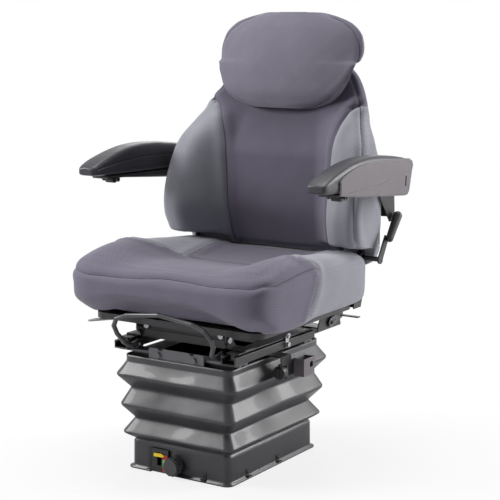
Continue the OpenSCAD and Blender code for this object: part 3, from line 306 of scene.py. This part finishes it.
PURPLE = (0.134, 0.121, 0.168)
GREY = (0.255, 0.258, 0.294)
M = {
    "purple": cloth("purple_cloth", PURPLE),
    # The centre cloth is the purple cloth made about a quarter darker. It is partly the centre panels' own darker
    # cloth and partly painted shade.
    "centre": cloth("centre_cloth_and_painted_shade", (0.096, 0.086, 0.124)),
    "head": cloth("head_cloth", (0.152, 0.140, 0.184)),
    "grey": cloth("grey_cloth", GREY, pitch=0.0062, contrast=0.035, depth=0.22),
    "thread": solid("seam_thread", (0.075, 0.070, 0.092), 0.9),
    "rubber": solid("gaiter_rubber", (0.030, 0.0285, 0.034), 0.38, spread=0.3, scale=11, grain=0.25, coat=0.12),
    "skin": solid("armrest_skin", (0.031, 0.029, 0.037), 0.42, spread=0.1, grain=0.3, grain_scale=700),
    "taupe": solid("taupe_plastic", (0.132, 0.116, 0.130), 0.5, grain=0.25, grain_scale=800),
    "black_plastic": solid("black_plastic", (0.018, 0.018, 0.020), 0.48, grain=0.3, grain_scale=800),
    "knob": solid("knob_plastic", (0.055, 0.054, 0.060), 0.36, grain=0.2, grain_scale=500),
    "grey_plastic": solid("grey_plastic", (0.30, 0.29, 0.31), 0.5, grain=0.2),
    "steel": solid("black_paint", (0.016, 0.016, 0.018), 0.38, grain=0.1),
    "edge_steel": solid("grey_paint", (0.10, 0.10, 0.11), 0.4, grain=0.1),
    "handle": solid("handle_paint", (0.050, 0.050, 0.055), 0.3, grain=0.08),
    "zinc": solid("zinc_plate", (0.36, 0.36, 0.38), 0.38, metal=1.0, spread=0.15, scale=60),
    "shaft": solid("ground_shaft", (0.5, 0.5, 0.52), 0.25, metal=1.0, spread=0.06),
    "natural": solid("natural_plastic", (0.62, 0.61, 0.56), 0.5),
    "spring": solid("spring_wire", (0.10, 0.10, 0.11), 0.4, metal=0.6),
    "yellow": solid("yellow_plastic", (0.85, 0.62, 0.02), 0.35),
    "red": solid("red_print", (0.60, 0.035, 0.02), 0.4),
    "green": solid("green_print", (0.22, 0.55, 0.16), 0.4),
}
LOOK = {
    "black_steel": "steel", "zinc_steel": "zinc", "shaft_steel": "shaft", "handle_steel": "handle",
    "gaiter_rubber": "rubber", "black_plastic": "black_plastic", "grey_plastic": "grey_plastic",
    "taupe_plastic": "taupe", "natural_plastic": "natural", "yellow_plastic": "yellow",
    "scale_print": "green", "spring_steel": "spring", "seat_cloth": "purple", "head_cloth": "head",
    "armrest_skin": "skin",
}


def dress_frame():
    """Gives every CAD node its material, and every shown node welded points and soft edges."""
    slot_of = {s["node"]: s["material_slot"] for s in frame["record"]["subparts"]}
    for node, obj in frame["nodes"].items():
        look = LOOK[slot_of[node]]
        # The recline shaft takes black paint in place of its ground steel. This is painted shade, so the gap at
        # the foot of the back shows as a dark shadow line.
        look = {"front_plate": "edge_steel", "rail_crossbars": "edge_steel", "recline_shaft": "steel",
                "weight_knob": "knob", "tilt_lever": "edge_steel"}.get(node, look)
        obj.data.materials.clear()
        obj.data.materials.append(M[look])
        if obj.hide_render:
            continue
        weld = obj.modifiers.new("weld", "WELD")
        weld.merge_threshold = 0.00001
        edge = obj.modifiers.new("edge", "BEVEL")
        edge.width = 0.0008
        edge.segments = 2
        edge.limit_method = "ANGLE"
        edge.angle_limit = math.radians(40)
        edge.use_clamp_overlap = True


# Cushion of the seat

CUSHION_HALF = 275
CUSHION_Y = (-262, 227)
TOP_SIDE = [(-262, 500), (-200, 520), (-94, 528), (0, 519), (100, 508), (227, 500)]
TOP_MIDDLE = [(-262, 486), (-200, 496), (-94, 486), (0, 474), (100, 471), (180, 480), (227, 489)]
UNDER_SIDE = [(-262, 378), (-215, 361), (-185, 351), (-100, 350), (0, 362), (228, 364)]
UNDER_MIDDLE = [(-262, 402), (-225, 399), (-205, 392), (-190, 366), (228, 364)]
PAN_TOP = 369.0


def cushion_top(x, y):
    u = np.abs(x) / CUSHION_HALF
    return table(TOP_MIDDLE, y) + (table(TOP_SIDE, y) - table(TOP_MIDDLE, y)) * smooth_step((u - 0.35) / 0.5)


def cushion_under(x, y):
    u = np.abs(x) / CUSHION_HALF
    side = smooth_step((u - 0.3) / 0.5)
    low = table(UNDER_MIDDLE, y) * (1 - side) + table(UNDER_SIDE, y) * side
    over_pan = (np.abs(x) < 232.5) & (y > -203)
    return np.where(over_pan, np.maximum(low, PAN_TOP), low)


def end_scale(v, m):
    return (1 - np.clip(np.abs(v), 0, 1) ** m) ** (1 / m)


WELT = [(-277, -120, 486), (-274, -190, 478), (-258, -238, 470), (-208, -253, 466), (-139, -251, 468),
        (-53, -248, 471), (5, -240, 476), (63, -240, 475), (122, -244, 471), (180, -245, 472), (240, -243, 477),
        (268, -205, 478), (274, -142, 487), (275, -84, 494), (272, -29, 494)]
CROSS_HALF = [(0, 4, 474), (69, 10, 475), (121, 12, 479), (164, 2, 495), (191, -26, 510), (215, -56, 522),
              (248, -62, 520)]
CROSS = [(-x, y, z) for x, y, z in CROSS_HALF[:0:-1]] + CROSS_HALF
SIDE_SEAM = [(248, -62, 520), (258, -34, 508), (272, -24, 490), (275, -23, 462), (276, -36, 431), (277, -56, 407),
             (268, -70, 376)]
REAR_SEAM = [(118, 14, 478), (130, 60, 478), (140, 99, 481), (146, 160, 486), (150, 221, 488)]


def build_cushion():
    px, py = ring_point(even_ring(300, 6), 6)
    rings = []
    for v in stations(3.2, 9, 120, 44):
        y = (CUSHION_Y[0] + CUSHION_Y[1]) / 2 + v * (CUSHION_Y[1] - CUSHION_Y[0]) / 2
        x = CUSHION_HALF * float(end_scale(v, 9 if v < 0 else 14)) * px
        top, low = cushion_top(x, np.full(len(x), y)), cushion_under(x, np.full(len(x), y))
        z = (top + low) / 2 + py * float(end_scale(v, 3.2 if v < 0 else 9)) * (top - low) / 2
        rings.append(np.stack([x, np.full(len(x), y), z], -1))
    before, faces, ends = rings_mesh(np.array(rings)[:, ::-1])
    nrm = normals_of(before, faces)
    up = nrm[:, 2] > -0.35
    lines = [on_surface(before, faces, np.array(q, float)) for q in (
        WELT, CROSS, SIDE_SEAM, [(-x, y, z) for x, y, z in SIDE_SEAM],
        REAR_SEAM, [(-x, y, z) for x, y, z in REAR_SEAM])]
    # Crowned panels: the front roll and the side bolsters swell, the seams pull in
    lift = ripple(before, 190, 2.0, 3) + ripple(before, 60, 0.6, 4)
    lift += 3.0 * bell(before[:, 0], 120) * bell(before[:, 1] - 110, 80) * (nrm[:, 2] > 0.5)
    for line in lines:
        d = path_distance(before, line[::2])
        lift += 2.2 * bell(d - 15, 12) - 2.6 * bell(d, 4.4)
    lift = np.where(up, lift, 0)
    after = before + nrm * lift[:, None]
    centre = after[faces].mean(1)
    side_line = np.interp(centre[:, 2], *np.array(SIDE_SEAM)[::-1, ::-1][:, :2].T)
    cross_line = np.interp(centre[:, 0], *np.array(CROSS)[:, :2].T)
    behind = np.where(np.abs(centre[:, 0]) > 240, centre[:, 1] > side_line, centre[:, 1] > cross_line)
    rear_line = np.interp(centre[:, 1], *np.array(REAR_SEAM)[:, 1::-1].T)
    # The rear middle panel of the seat gets the darker centre cloth, partly as painted shade.
    middle = behind & (nrm[faces[:, 0], 2] > 0.3) & (np.abs(centre[:, 0]) < rear_line)
    panel = np.where(behind & ~middle, 1, 0)
    panel[middle] = 2
    panel[(nrm[faces[:, 0], 2] < -0.93) & (centre[:, 1] > -190)] = 3
    seat = make_mesh("seat_cushion_cover", after, list(faces) + ends, list(panel) + [0, 2],
                     [M["purple"], M["grey"], M["centre"], M["thread"]])
    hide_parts("seat_cushion")
    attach(seat, "seat")
    stitched("seat_seam", lines, before, after, "seat")


# Back

BACK_Z = (452, 935)
BACK_W = [(452, 266), (512, 274), (560, 281), (620, 282), (690, 277), (745, 262), (790, 241), (832, 220),
          (880, 198), (910, 182), (935, 170)]
BACK_FRONT = [(452, 245), (478, 244.5), (500, 232), (600, 214), (706, 217), (760, 234), (832, 262), (880, 284),
              (935, 306)]
BACK_WING = [(452, 245), (478, 244.5), (500, 237), (508, 172), (518, 138), (580, 119), (634, 130), (682, 146),
             (744, 168), (790, 205), (832, 252), (880, 282), (935, 306)]
BACK_REAR = [(452, 268), (520, 286), (720, 290), (790, 306), (832, 322), (880, 336), (935, 350)]
BACK_SQUARE = [(452, 7), (690, 7), (790, 4), (935, 4)]
# The left seam sits further in than the right one, as the photo has it
SEAM_LEFT = [(452, 134), (520, 128), (600, 131), (706, 136), (760, 145), (800, 160), (825, 180), (840, 208)]
SEAM_RIGHT = [(452, 184), (520, 188), (600, 190), (706, 188), (760, 186), (800, 190), (825, 198), (840, 214)]


def back_front(x, z):
    u = np.abs(x) / table(BACK_W, z)
    f = table(BACK_FRONT, z)
    return f + (table(BACK_WING, z) - f) * smooth_step((u - 0.42) / 0.42)


def back_rear(x, z):
    return table(BACK_REAR, z) + 10 * (1 - (np.abs(x) / table(BACK_W, z)) ** 2)


def back_columns(shares, m):
    """Angles round one section, denser at the two front seams."""
    left, right = [math.degrees(math.atan2(-(1 - q**m) ** (1 / m), q)) % 360 for q in shares]
    parts = [(0, 180, 56), (180, 540 - left, 44), (540 - left, right, 96), (right, 360, 44)]
    out = []
    for k, (a, b, n) in enumerate(parts):
        t = np.arange(n) / n
        if k == 1:
            t = 1 - (1 - t) ** 1.5
        elif k == 2:
            t = 0.5 - 0.5 * np.sign(1 - 2 * t) * np.abs(1 - 2 * t) ** 0.8
        elif k == 3:
            t = t**1.5
        out.append(a + (b - a) * t)
    return np.radians(np.concatenate(out)), [p[2] for p in parts]


EDGE_SEAM = [(258, 180, 514), (269, 148, 535), (273, 138, 568), (271, 140, 630), (269, 168, 690), (265, 192, 733),
             (241, 227, 783), (210, 276, 838), (191, 291, 878), (165, 308, 911)]
TOP_SEAM = [(198, 256, 832), (210, 277, 837), (214, 300, 838), (208, 316, 838)]


def build_back():
    rings = []
    for s in stations(16, 9, 220, 26):
        z = (BACK_Z[0] + BACK_Z[1]) / 2 + s * (BACK_Z[1] - BACK_Z[0]) / 2
        w = float(table(BACK_W, z))
        kx = float(end_scale(s, 9 if s > 0 else 16))
        ky = float(end_scale(s, 7 if s > 0 else 9))
        shares = [min(float(table(q, z)) / (w * max(kx, 0.01)), 0.985) for q in (SEAM_LEFT, SEAM_RIGHT)]
        square = float(np.interp(z, *np.array(BACK_SQUARE).T))
        a, counts = back_columns(shares, square)
        px, py = ring_point(a, square)
        x = w * kx * px
        f, b = back_front(x, np.full(len(x), z)), back_rear(x, np.full(len(x), z))
        rings.append(np.stack([x, (f + b) / 2 + py * ky * (b - f) / 2, np.full(len(x), z)], -1))
    rings = np.array(rings)
    n, m = rings.shape[1], rings.shape[0]
    before, faces, ends = rings_mesh(rings)
    nrm = normals_of(before, faces)
    col = np.tile(np.arange(n), m)
    s1, s2 = counts[0] + counts[1], counts[0] + counts[1] + counts[2]
    use = (rings[:, 0, 2] > 470) & (rings[:, 0, 2] < 842)
    lines = [rings[use, s1], rings[use, s2]]
    for sx in (-1, 1):
        for path in (TOP_SEAM, EDGE_SEAM):
            lines.append(on_surface(before, faces, np.array([(sx * x, y, z) for x, y, z in path], float)))
    lift = ripple(before, 230, 2.0, 11) + ripple(before, 70, 0.6, 12)
    front = col > counts[0] - 2
    for line in lines:
        d = path_distance(before, line[::3])
        lift += 2.2 * bell(d - 15, 12) - 3.4 * bell(d, 4.2)
    lift += 4.0 * bell(before[:, 0], 110) * bell(before[:, 2] - 560, 90) * front
    lift = np.where(front, lift, np.minimum(lift, 0.5))
    lift *= smooth_step((before[:, 2] - 456) / 20) * smooth_step((934 - before[:, 2]) / 12)
    after = before + nrm * lift[:, None]
    centre = after[faces].mean(1)
    fc = col[faces[:, 0]]
    wing = (fc < s1) | (fc >= s2)
    panel = np.where(wing & (centre[:, 2] < 836), 1, 0)
    # The centre columns and the top of the back get the darker centre cloth, partly as painted shade.
    panel[(fc >= s1) & (fc < s2) | (centre[:, 2] > 836)] = 2
    back = make_mesh("back_cushion_cover", after, list(faces) + ends,
                     list(panel) + [3, 0], [M["purple"], M["grey"], M["centre"], M["thread"]])
    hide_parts("back_cushion")
    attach(back, "backrest")
    stitched("back_seam", lines, before, after, "backrest")


# Head restraint

HEAD_Z = (826, 1058)
HEAD_W = [(826, 105), (850, 150), (885, 178), (930, 196), (968, 203), (1000, 196), (1030, 168), (1058, 95)]
HEAD_FRONT = [(826, 236), (860, 230), (900, 237), (965, 256), (1020, 276), (1058, 298)]
HEAD_REAR = [(826, 252), (850, 256), (900, 280), (932, 296), (944, 330), (965, 346), (1000, 348), (1035, 338),
             (1058, 318)]


RIM = [(0, 244, 828), (60, 244, 828), (96, 250, 831), (138, 252, 850), (171, 260, 884), (191, 270, 913),
       (201, 288, 952), (196, 297, 983), (177, 304, 1010), (143, 309, 1034), (92, 312, 1049), (0, 312, 1057)]


def build_head():
    px, py = ring_point(even_ring(240, 3.2), 3.2)
    rings = []
    for s in stations(12, 12, 130, 24):
        z = (HEAD_Z[0] + HEAD_Z[1]) / 2 + s * (HEAD_Z[1] - HEAD_Z[0]) / 2
        w = float(table(HEAD_W, z))
        k = float(end_scale(s, 12))
        x = w * k * px
        u = np.abs(x) / w
        f = table(HEAD_FRONT, z) + 24 * u**2.6
        b = np.maximum(f + 8, table(HEAD_REAR, z) - 22 * u**3)
        rings.append(np.stack([x, (f + b) / 2 + py * k * (b - f) / 2, np.full(len(x), z)], -1))
    before, faces, ends = rings_mesh(np.array(rings))
    nrm = normals_of(before, faces)
    rim = [(x, y, z) for x, y, z in RIM] + [(-x, y, z) for x, y, z in RIM[-2::-1]]
    line = on_surface(before, faces, np.array(rim), 5)
    d = path_distance(before, line[::2])
    lift = ripple(before, 150, 1.4, 21) + ripple(before, 50, 0.5, 22)
    lift += 1.0 * bell(d - 11, 9) - 2.0 * bell(d, 3.2)
    lift += 5 * bell(before[:, 0], 130) * bell(before[:, 2] - 945, 70) * (nrm[:, 1] < 0)
    lift *= smooth_step((before[:, 2] - 828) / 12) * smooth_step((1056 - before[:, 2]) / 12)
    after = before + nrm * lift[:, None]
    head = make_mesh("head_cushion_cover", after, list(faces) + ends, None, [M["head"]])
    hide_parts("head_cushion")
    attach(head, "head_restraint")
    stitched("head_seam", [line], before, after, "head_restraint")


# Armrest pads

ARM_IN, PAD_W = 292, 53.5
PAD_Y = (-117, 290)
PAD_TOP = [(-117, 694), (-80, 708), (-48, 717), (-4, 727), (45, 734), (90, 736), (135, 735), (190, 730),
           (232, 725), (290, 716)]
PAD_UNDER = [(-117, 670), (-20, 667), (290, 661)]


def build_pad(side, name, body):
    px, py = ring_point(even_ring(150, 5), 5)
    rings = []
    for v in stations(7, 15, 110, 16):
        y = (PAD_Y[0] + PAD_Y[1]) / 2 + v * (PAD_Y[1] - PAD_Y[0]) / 2
        top, low = float(table(PAD_TOP, y)), float(table(PAD_UNDER, y))
        x = side * (ARM_IN + PAD_W / 2) + px * PAD_W / 2 * float(end_scale(v, 9 if v < 0 else 15))
        z = (top + low) / 2 + py * (top - low) / 2 * float(end_scale(v, 7 if v < 0 else 15))
        rings.append(np.stack([x, np.full(len(x), y), z + 1.6 * bell(px, 0.6) * (py > 0.5)], -1))
    before, faces, ends = rings_mesh(np.array(rings)[:, ::-1])
    nrm = normals_of(before, faces)
    along = np.linspace(-100, 285, 40)
    split = np.stack([np.full(40, side * (ARM_IN - 2.0)), along, 0.5 * table(PAD_TOP, along) + 336], -1)
    line = on_surface(before, faces, split, 8)
    lift = ripple(before, 120, 0.7, 31 + side) - 0.9 * bell(path_distance(before, line[::2]), 1.6)
    pad = make_mesh(name + "_skin", before + nrm * lift[:, None], list(faces) + ends, None, [M["skin"]])
    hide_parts(name)
    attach(pad, body)


# Gaiter

HALF_W, HALF_D, GAITER_T = 137.5, 185.0, 2.5
SLOT_GAP = 0.0003
FRONT_CUT_Y = (-0.21, -0.178)
KNOB_X, KNOB_Z, KNOB_BORE_R = -0.005, 0.028, 0.007
BORE_SIDES = 32
FOLDS = [(1, 8), (4.4, 8), (6, 0.6), (66, 0), (72, -4), (88, 20), (122, -3), (155, 26), (195, 5), (228, 33),
         (259, 12), (274, 12)]
ROUND = {(88, 20): 5.5, (155, 26): 6, (228, 33): 6, (122, -3): 4, (195, 5): 4, (72, -4): 3, (259, 12): 3}


def fold_profile():
    """Outside profile of the gaiter with each fold rounded."""
    out = []
    for k, (z, o) in enumerate(FOLDS):
        r = ROUND.get((z, o))
        if not r:
            out.append((z, o))
            continue
        here = np.array([z, o], float)
        before = np.array(FOLDS[k - 1], float) - here
        after = np.array(FOLDS[k + 1], float) - here
        a = here + before / np.linalg.norm(before) * r
        b = here + after / np.linalg.norm(after) * r
        for t in np.linspace(0, 1, 7):
            out.append(tuple((1 - t) ** 2 * a + 2 * t * (1 - t) * here + t**2 * b))
    dense = []
    for (z0, o0), (z1, o1) in zip(out[:-1], out[1:]):
        k = max(1, int(math.hypot(z1 - z0, o1 - o0) / 5))
        for i in range(k):
            dense.append((z0 + (z1 - z0) * i / k, o0 + (o1 - o0) * i / k))
    dense.append(out[-1])
    return np.array(dense)


def corner_ring(a, b, r, z, k=10, straight=16):
    pts = []
    corners = [(1, 1, 0), (-1, 1, 90), (-1, -1, 180), (1, -1, 270)]
    for c, (sx, sy, a0) in enumerate(corners):
        for i in range(k + 1):
            t = math.radians(a0 + 90 * i / k)
            pts.append((sx * (a - r) + r * math.cos(t), sy * (b - r) + r * math.sin(t), z))
        nx, ny, n0 = corners[(c + 1) % 4]
        t0 = math.radians(n0)
        end = (nx * (a - r) + r * math.cos(t0), ny * (b - r) + r * math.sin(t0), z)
        start = pts[-1]
        for i in range(1, straight):
            pts.append(tuple(start[q] + (end[q] - start[q]) * i / straight for q in range(3)))
    return pts


def build_gaiter():
    prof = fold_profile()
    outer = [corner_ring(HALF_W + o, HALF_D + o, 16 + max(0, o) * 0.3, z) for z, o in prof]
    inner = [corner_ring(HALF_W + max(o, -4) * (z > 5.5) - GAITER_T, HALF_D + max(o, -4) * (z > 5.5) - GAITER_T,
                         14 + max(0, o) * 0.3, z) for z, o in prof[::-1]]
    rings = np.array(outer + inner)
    n, m = rings.shape[1], rings.shape[0]
    co = rings.reshape(-1, 3)
    faces = np.array([[j * n + i, j * n + (i + 1) % n, ((j + 1) % m) * n + (i + 1) % n, ((j + 1) % m) * n + i]
                      for j in range(m) for i in range(n)])
    # The flat sides bow a little, and the front has an opening for the height scale
    bow = 2.2 * bell(co[:, 1] / HALF_D, 0.7) * (np.abs(co[:, 0]) > 120) * smooth_step((co[:, 2] - 66) / 25)
    co[:, 0] -= np.sign(co[:, 0]) * bow * smooth_step((262 - co[:, 2]) / 25)
    bow = 1.6 * bell(co[:, 0] / HALF_W, 0.7) * (np.abs(co[:, 1]) > 170) * smooth_step((co[:, 2] - 66) / 25)
    co[:, 1] -= np.sign(co[:, 1]) * bow * smooth_step((262 - co[:, 2]) / 25)
    loose = smooth_step((co[:, 2] - 64) / 20) * smooth_step((264 - co[:, 2]) / 20)
    out = co * np.array([1, 1, 0])
    out /= np.linalg.norm(out, axis=1)[:, None]
    sag = ripple(co, 150, 2.6, 41) + ripple(co, 55, 0.9, 42)
    co = co + out * (sag * loose)[:, None]
    co[:, 2] += ripple(co, 170, 2.0, 43) * loose
    gaiter = make_mesh("gaiter_rubber", co, faces, None, [M["rubber"]])
    cut = bpy.data.meshes.new("cut")
    lo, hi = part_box("indicator_housing")
    x0, x1, z1 = lo.x - SLOT_GAP, hi.x + SLOT_GAP, hi.z + SLOT_GAP
    y0, y1 = FRONT_CUT_Y
    v = [(x, y, z) for x in (x0, x1) for y in (y0, y1) for z in (-0.01, z1)]
    cut.from_pydata(v, [], [(0, 1, 3, 2), (4, 6, 7, 5), (0, 4, 5, 1), (2, 3, 7, 6), (0, 2, 6, 4), (1, 5, 7, 3)])
    cutter = bpy.data.objects.new("cutter", cut)
    bpy.context.scene.collection.objects.link(cutter)
    cylinder = bpy.data.meshes.new("bore")
    n = BORE_SIDES
    spin = np.arange(n) * 2 * math.pi / n
    ring0 = [(KNOB_X + KNOB_BORE_R * math.cos(t), y0, KNOB_Z + KNOB_BORE_R * math.sin(t)) for t in spin]
    ring1 = [(x, y1, z) for x, _, z in ring0]
    sides = [(i, (i + 1) % n, n + (i + 1) % n, n + i) for i in range(n)]
    cylinder.from_pydata(ring0 + ring1, [], sides + [tuple(range(n))[::-1], tuple(range(n, 2 * n))])
    borer = bpy.data.objects.new("borer", cylinder)
    bpy.context.scene.collection.objects.link(borer)
    for tool in (cutter, borer):
        mod = gaiter.modifiers.new("cut", "BOOLEAN")
        mod.object = tool
        mod.operation = "DIFFERENCE"
        mod.solver = "EXACT"
    bpy.context.view_layer.objects.active = gaiter
    for mod in list(gaiter.modifiers):
        bpy.ops.object.modifier_apply(modifier=mod.name)
    for tool in (cutter, borer):
        bpy.data.objects.remove(tool)
    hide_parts("gaiter")
    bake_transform(gaiter)


# Height scale

def build_scale():
    """Red, green and red bands."""
    lo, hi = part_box("indicator_scale")
    x0, x1, z0, z1 = lo.x * 1000, hi.x * 1000, lo.z * 1000, hi.z * 1000
    y0, y1 = lo.y * 1000 - 0.1, hi.y * 1000
    bands = [(z0, z0 + 9, "red"), (z0 + 9.3, z1 - 11.3, "green"), (z1 - 11, z1, "red")]
    for k, (a, b, look) in enumerate(bands):
        v = [(x, y, z) for x in (x0, x1) for y in (y0, y1) for z in (a, b)]
        f = [(0, 1, 3, 2), (4, 6, 7, 5), (0, 4, 5, 1), (2, 3, 7, 6), (0, 2, 6, 4), (1, 5, 7, 3)]
        band = make_mesh(f"scale_band_{k}", np.array(v), f, None, [M[look]])
        band.data.polygons.foreach_set("use_smooth", [False] * 6)
        if k == 1:
            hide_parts("indicator_scale")
        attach(band, "base")


# Light, floor and camera

NEAR_WHITE = 0.80
WORLD_LIGHT = 0.12
WORLD_GLOSS = 0.75
CAMERA_TURN, CAMERA_TIP = 33.1, 9.61
CAMERA_PLACE = (1.8912, -2.7862, 1.0755)
CAMERA_LENS = 104.2

def area(name, place, size, power, aim=(0, 0, 0.55), colour=(1, 1, 1)):
    data = bpy.data.lights.new(name, "AREA")
    data.energy = power
    data.shape = "RECTANGLE"
    data.size, data.size_y = size
    data.color = colour
    obj = bpy.data.objects.new(name, data)
    bpy.context.scene.collection.objects.link(obj)
    obj.location = place
    obj.rotation_mode = "QUATERNION"
    obj.rotation_quaternion = (Vector(aim) - Vector(place)).to_track_quat("-Z", "Y")


def studio():
    floor = make_mesh("floor", np.array([(-9000, -9000, 0), (9000, -9000, 0), (9000, 9000, 0), (-9000, 9000, 0)]),
                      [(0, 1, 2, 3)], None, [])
    m, nodes, links, bsdf = shader("floor_paper")
    bsdf.inputs["Base Color"].default_value = (0.8, 0.8, 0.81, 1)
    bsdf.inputs["Roughness"].default_value = 0.9
    glow = nodes.new("ShaderNodeEmission")
    glow.inputs["Color"].default_value = (1, 1, 1, 1)
    seen = nodes.new("ShaderNodeLightPath")
    where = nodes.new("ShaderNodeTexCoord")
    far = add(nodes, "ShaderNodeVectorMath", operation="LENGTH")
    links.new(where.outputs["Object"], far.inputs[0])
    white = nodes.new("ShaderNodeMapRange")
    white.interpolation_type = "SMOOTHSTEP"
    white.inputs["From Min"].default_value = 0.3
    white.inputs["From Max"].default_value = 1.3
    white.inputs["To Min"].default_value = NEAR_WHITE
    white.inputs["To Max"].default_value = 1.0
    links.new(far.outputs["Value"], white.inputs["Value"])
    share = add(nodes, "ShaderNodeMath", operation="MULTIPLY")
    links.new(seen.outputs["Is Camera Ray"], share.inputs[0])
    links.new(white.outputs["Result"], share.inputs[1])
    mix = nodes.new("ShaderNodeMixShader")
    links.new(share.outputs["Value"], mix.inputs["Fac"])
    links.new(bsdf.outputs["BSDF"], mix.inputs[1])
    links.new(glow.outputs["Emission"], mix.inputs[2])
    links.new(mix.outputs["Shader"], nodes["Material Output"].inputs["Surface"])
    floor.data.materials.append(m)
    world = bpy.data.worlds.new("studio")
    bpy.context.scene.world = world
    world.use_nodes = True
    nodes, links = world.node_tree.nodes, world.node_tree.links
    back = nodes["Background"]
    back.inputs["Color"].default_value = (1, 1, 1, 1)
    rays = nodes.new("ShaderNodeLightPath")
    seen = nodes.new("ShaderNodeMath")
    seen.operation = "MAXIMUM"
    links.new(rays.outputs["Is Camera Ray"], seen.inputs[0])
    links.new(rays.outputs["Is Transmission Ray"], seen.inputs[1])
    gloss = nodes.new("ShaderNodeMath")
    gloss.operation = "MULTIPLY"
    gloss.inputs[1].default_value = WORLD_GLOSS
    links.new(rays.outputs["Is Glossy Ray"], gloss.inputs[0])
    most = nodes.new("ShaderNodeMath")
    most.operation = "MAXIMUM"
    links.new(seen.outputs["Value"], most.inputs[0])
    links.new(gloss.outputs["Value"], most.inputs[1])
    strength = nodes.new("ShaderNodeMapRange")
    strength.inputs["To Min"].default_value = WORLD_LIGHT
    strength.inputs["To Max"].default_value = 1.0
    links.new(most.outputs["Value"], strength.inputs["Value"])
    links.new(strength.outputs["Result"], back.inputs["Strength"])
    area("key", (-2.7, -1.8, 2.3), (1.4, 1.8), 120)
    area("fill", (2.3, 2.2, 1.6), (1.3, 2.0), 95)
    area("top", (-0.2, 0.2, 3.2), (1.8, 1.3), 46)
    area("rim", (-1.4, 2.3, 1.8), (1.2, 1.8), 18)


def camera():
    data = bpy.data.cameras.new("camera")
    data.lens = CAMERA_LENS
    data.sensor_width = 36
    data.clip_start, data.clip_end = 0.05, 60
    cam = bpy.data.objects.new("camera", data)
    bpy.context.scene.collection.objects.link(cam)
    turn, tip = math.radians(CAMERA_TURN), math.radians(CAMERA_TIP)
    look = Vector((-math.sin(turn) * math.cos(tip), math.cos(turn) * math.cos(tip), -math.sin(tip)))
    cam.location = CAMERA_PLACE
    cam.rotation_mode = "QUATERNION"
    cam.rotation_quaternion = look.to_track_quat("-Z", "Y")
    bpy.context.scene.camera = cam


camera()
build_cushion()
build_back()
build_head()
build_pad(-1, "armrest_pad_left", "armrest_left")
build_pad(1, "armrest_pad_right", "armrest_right")
build_gaiter()
build_scale()
dress_frame()
studio()
bpy.context.scene.view_settings.view_transform = "Standard"

bpy.context.view_layer.update()
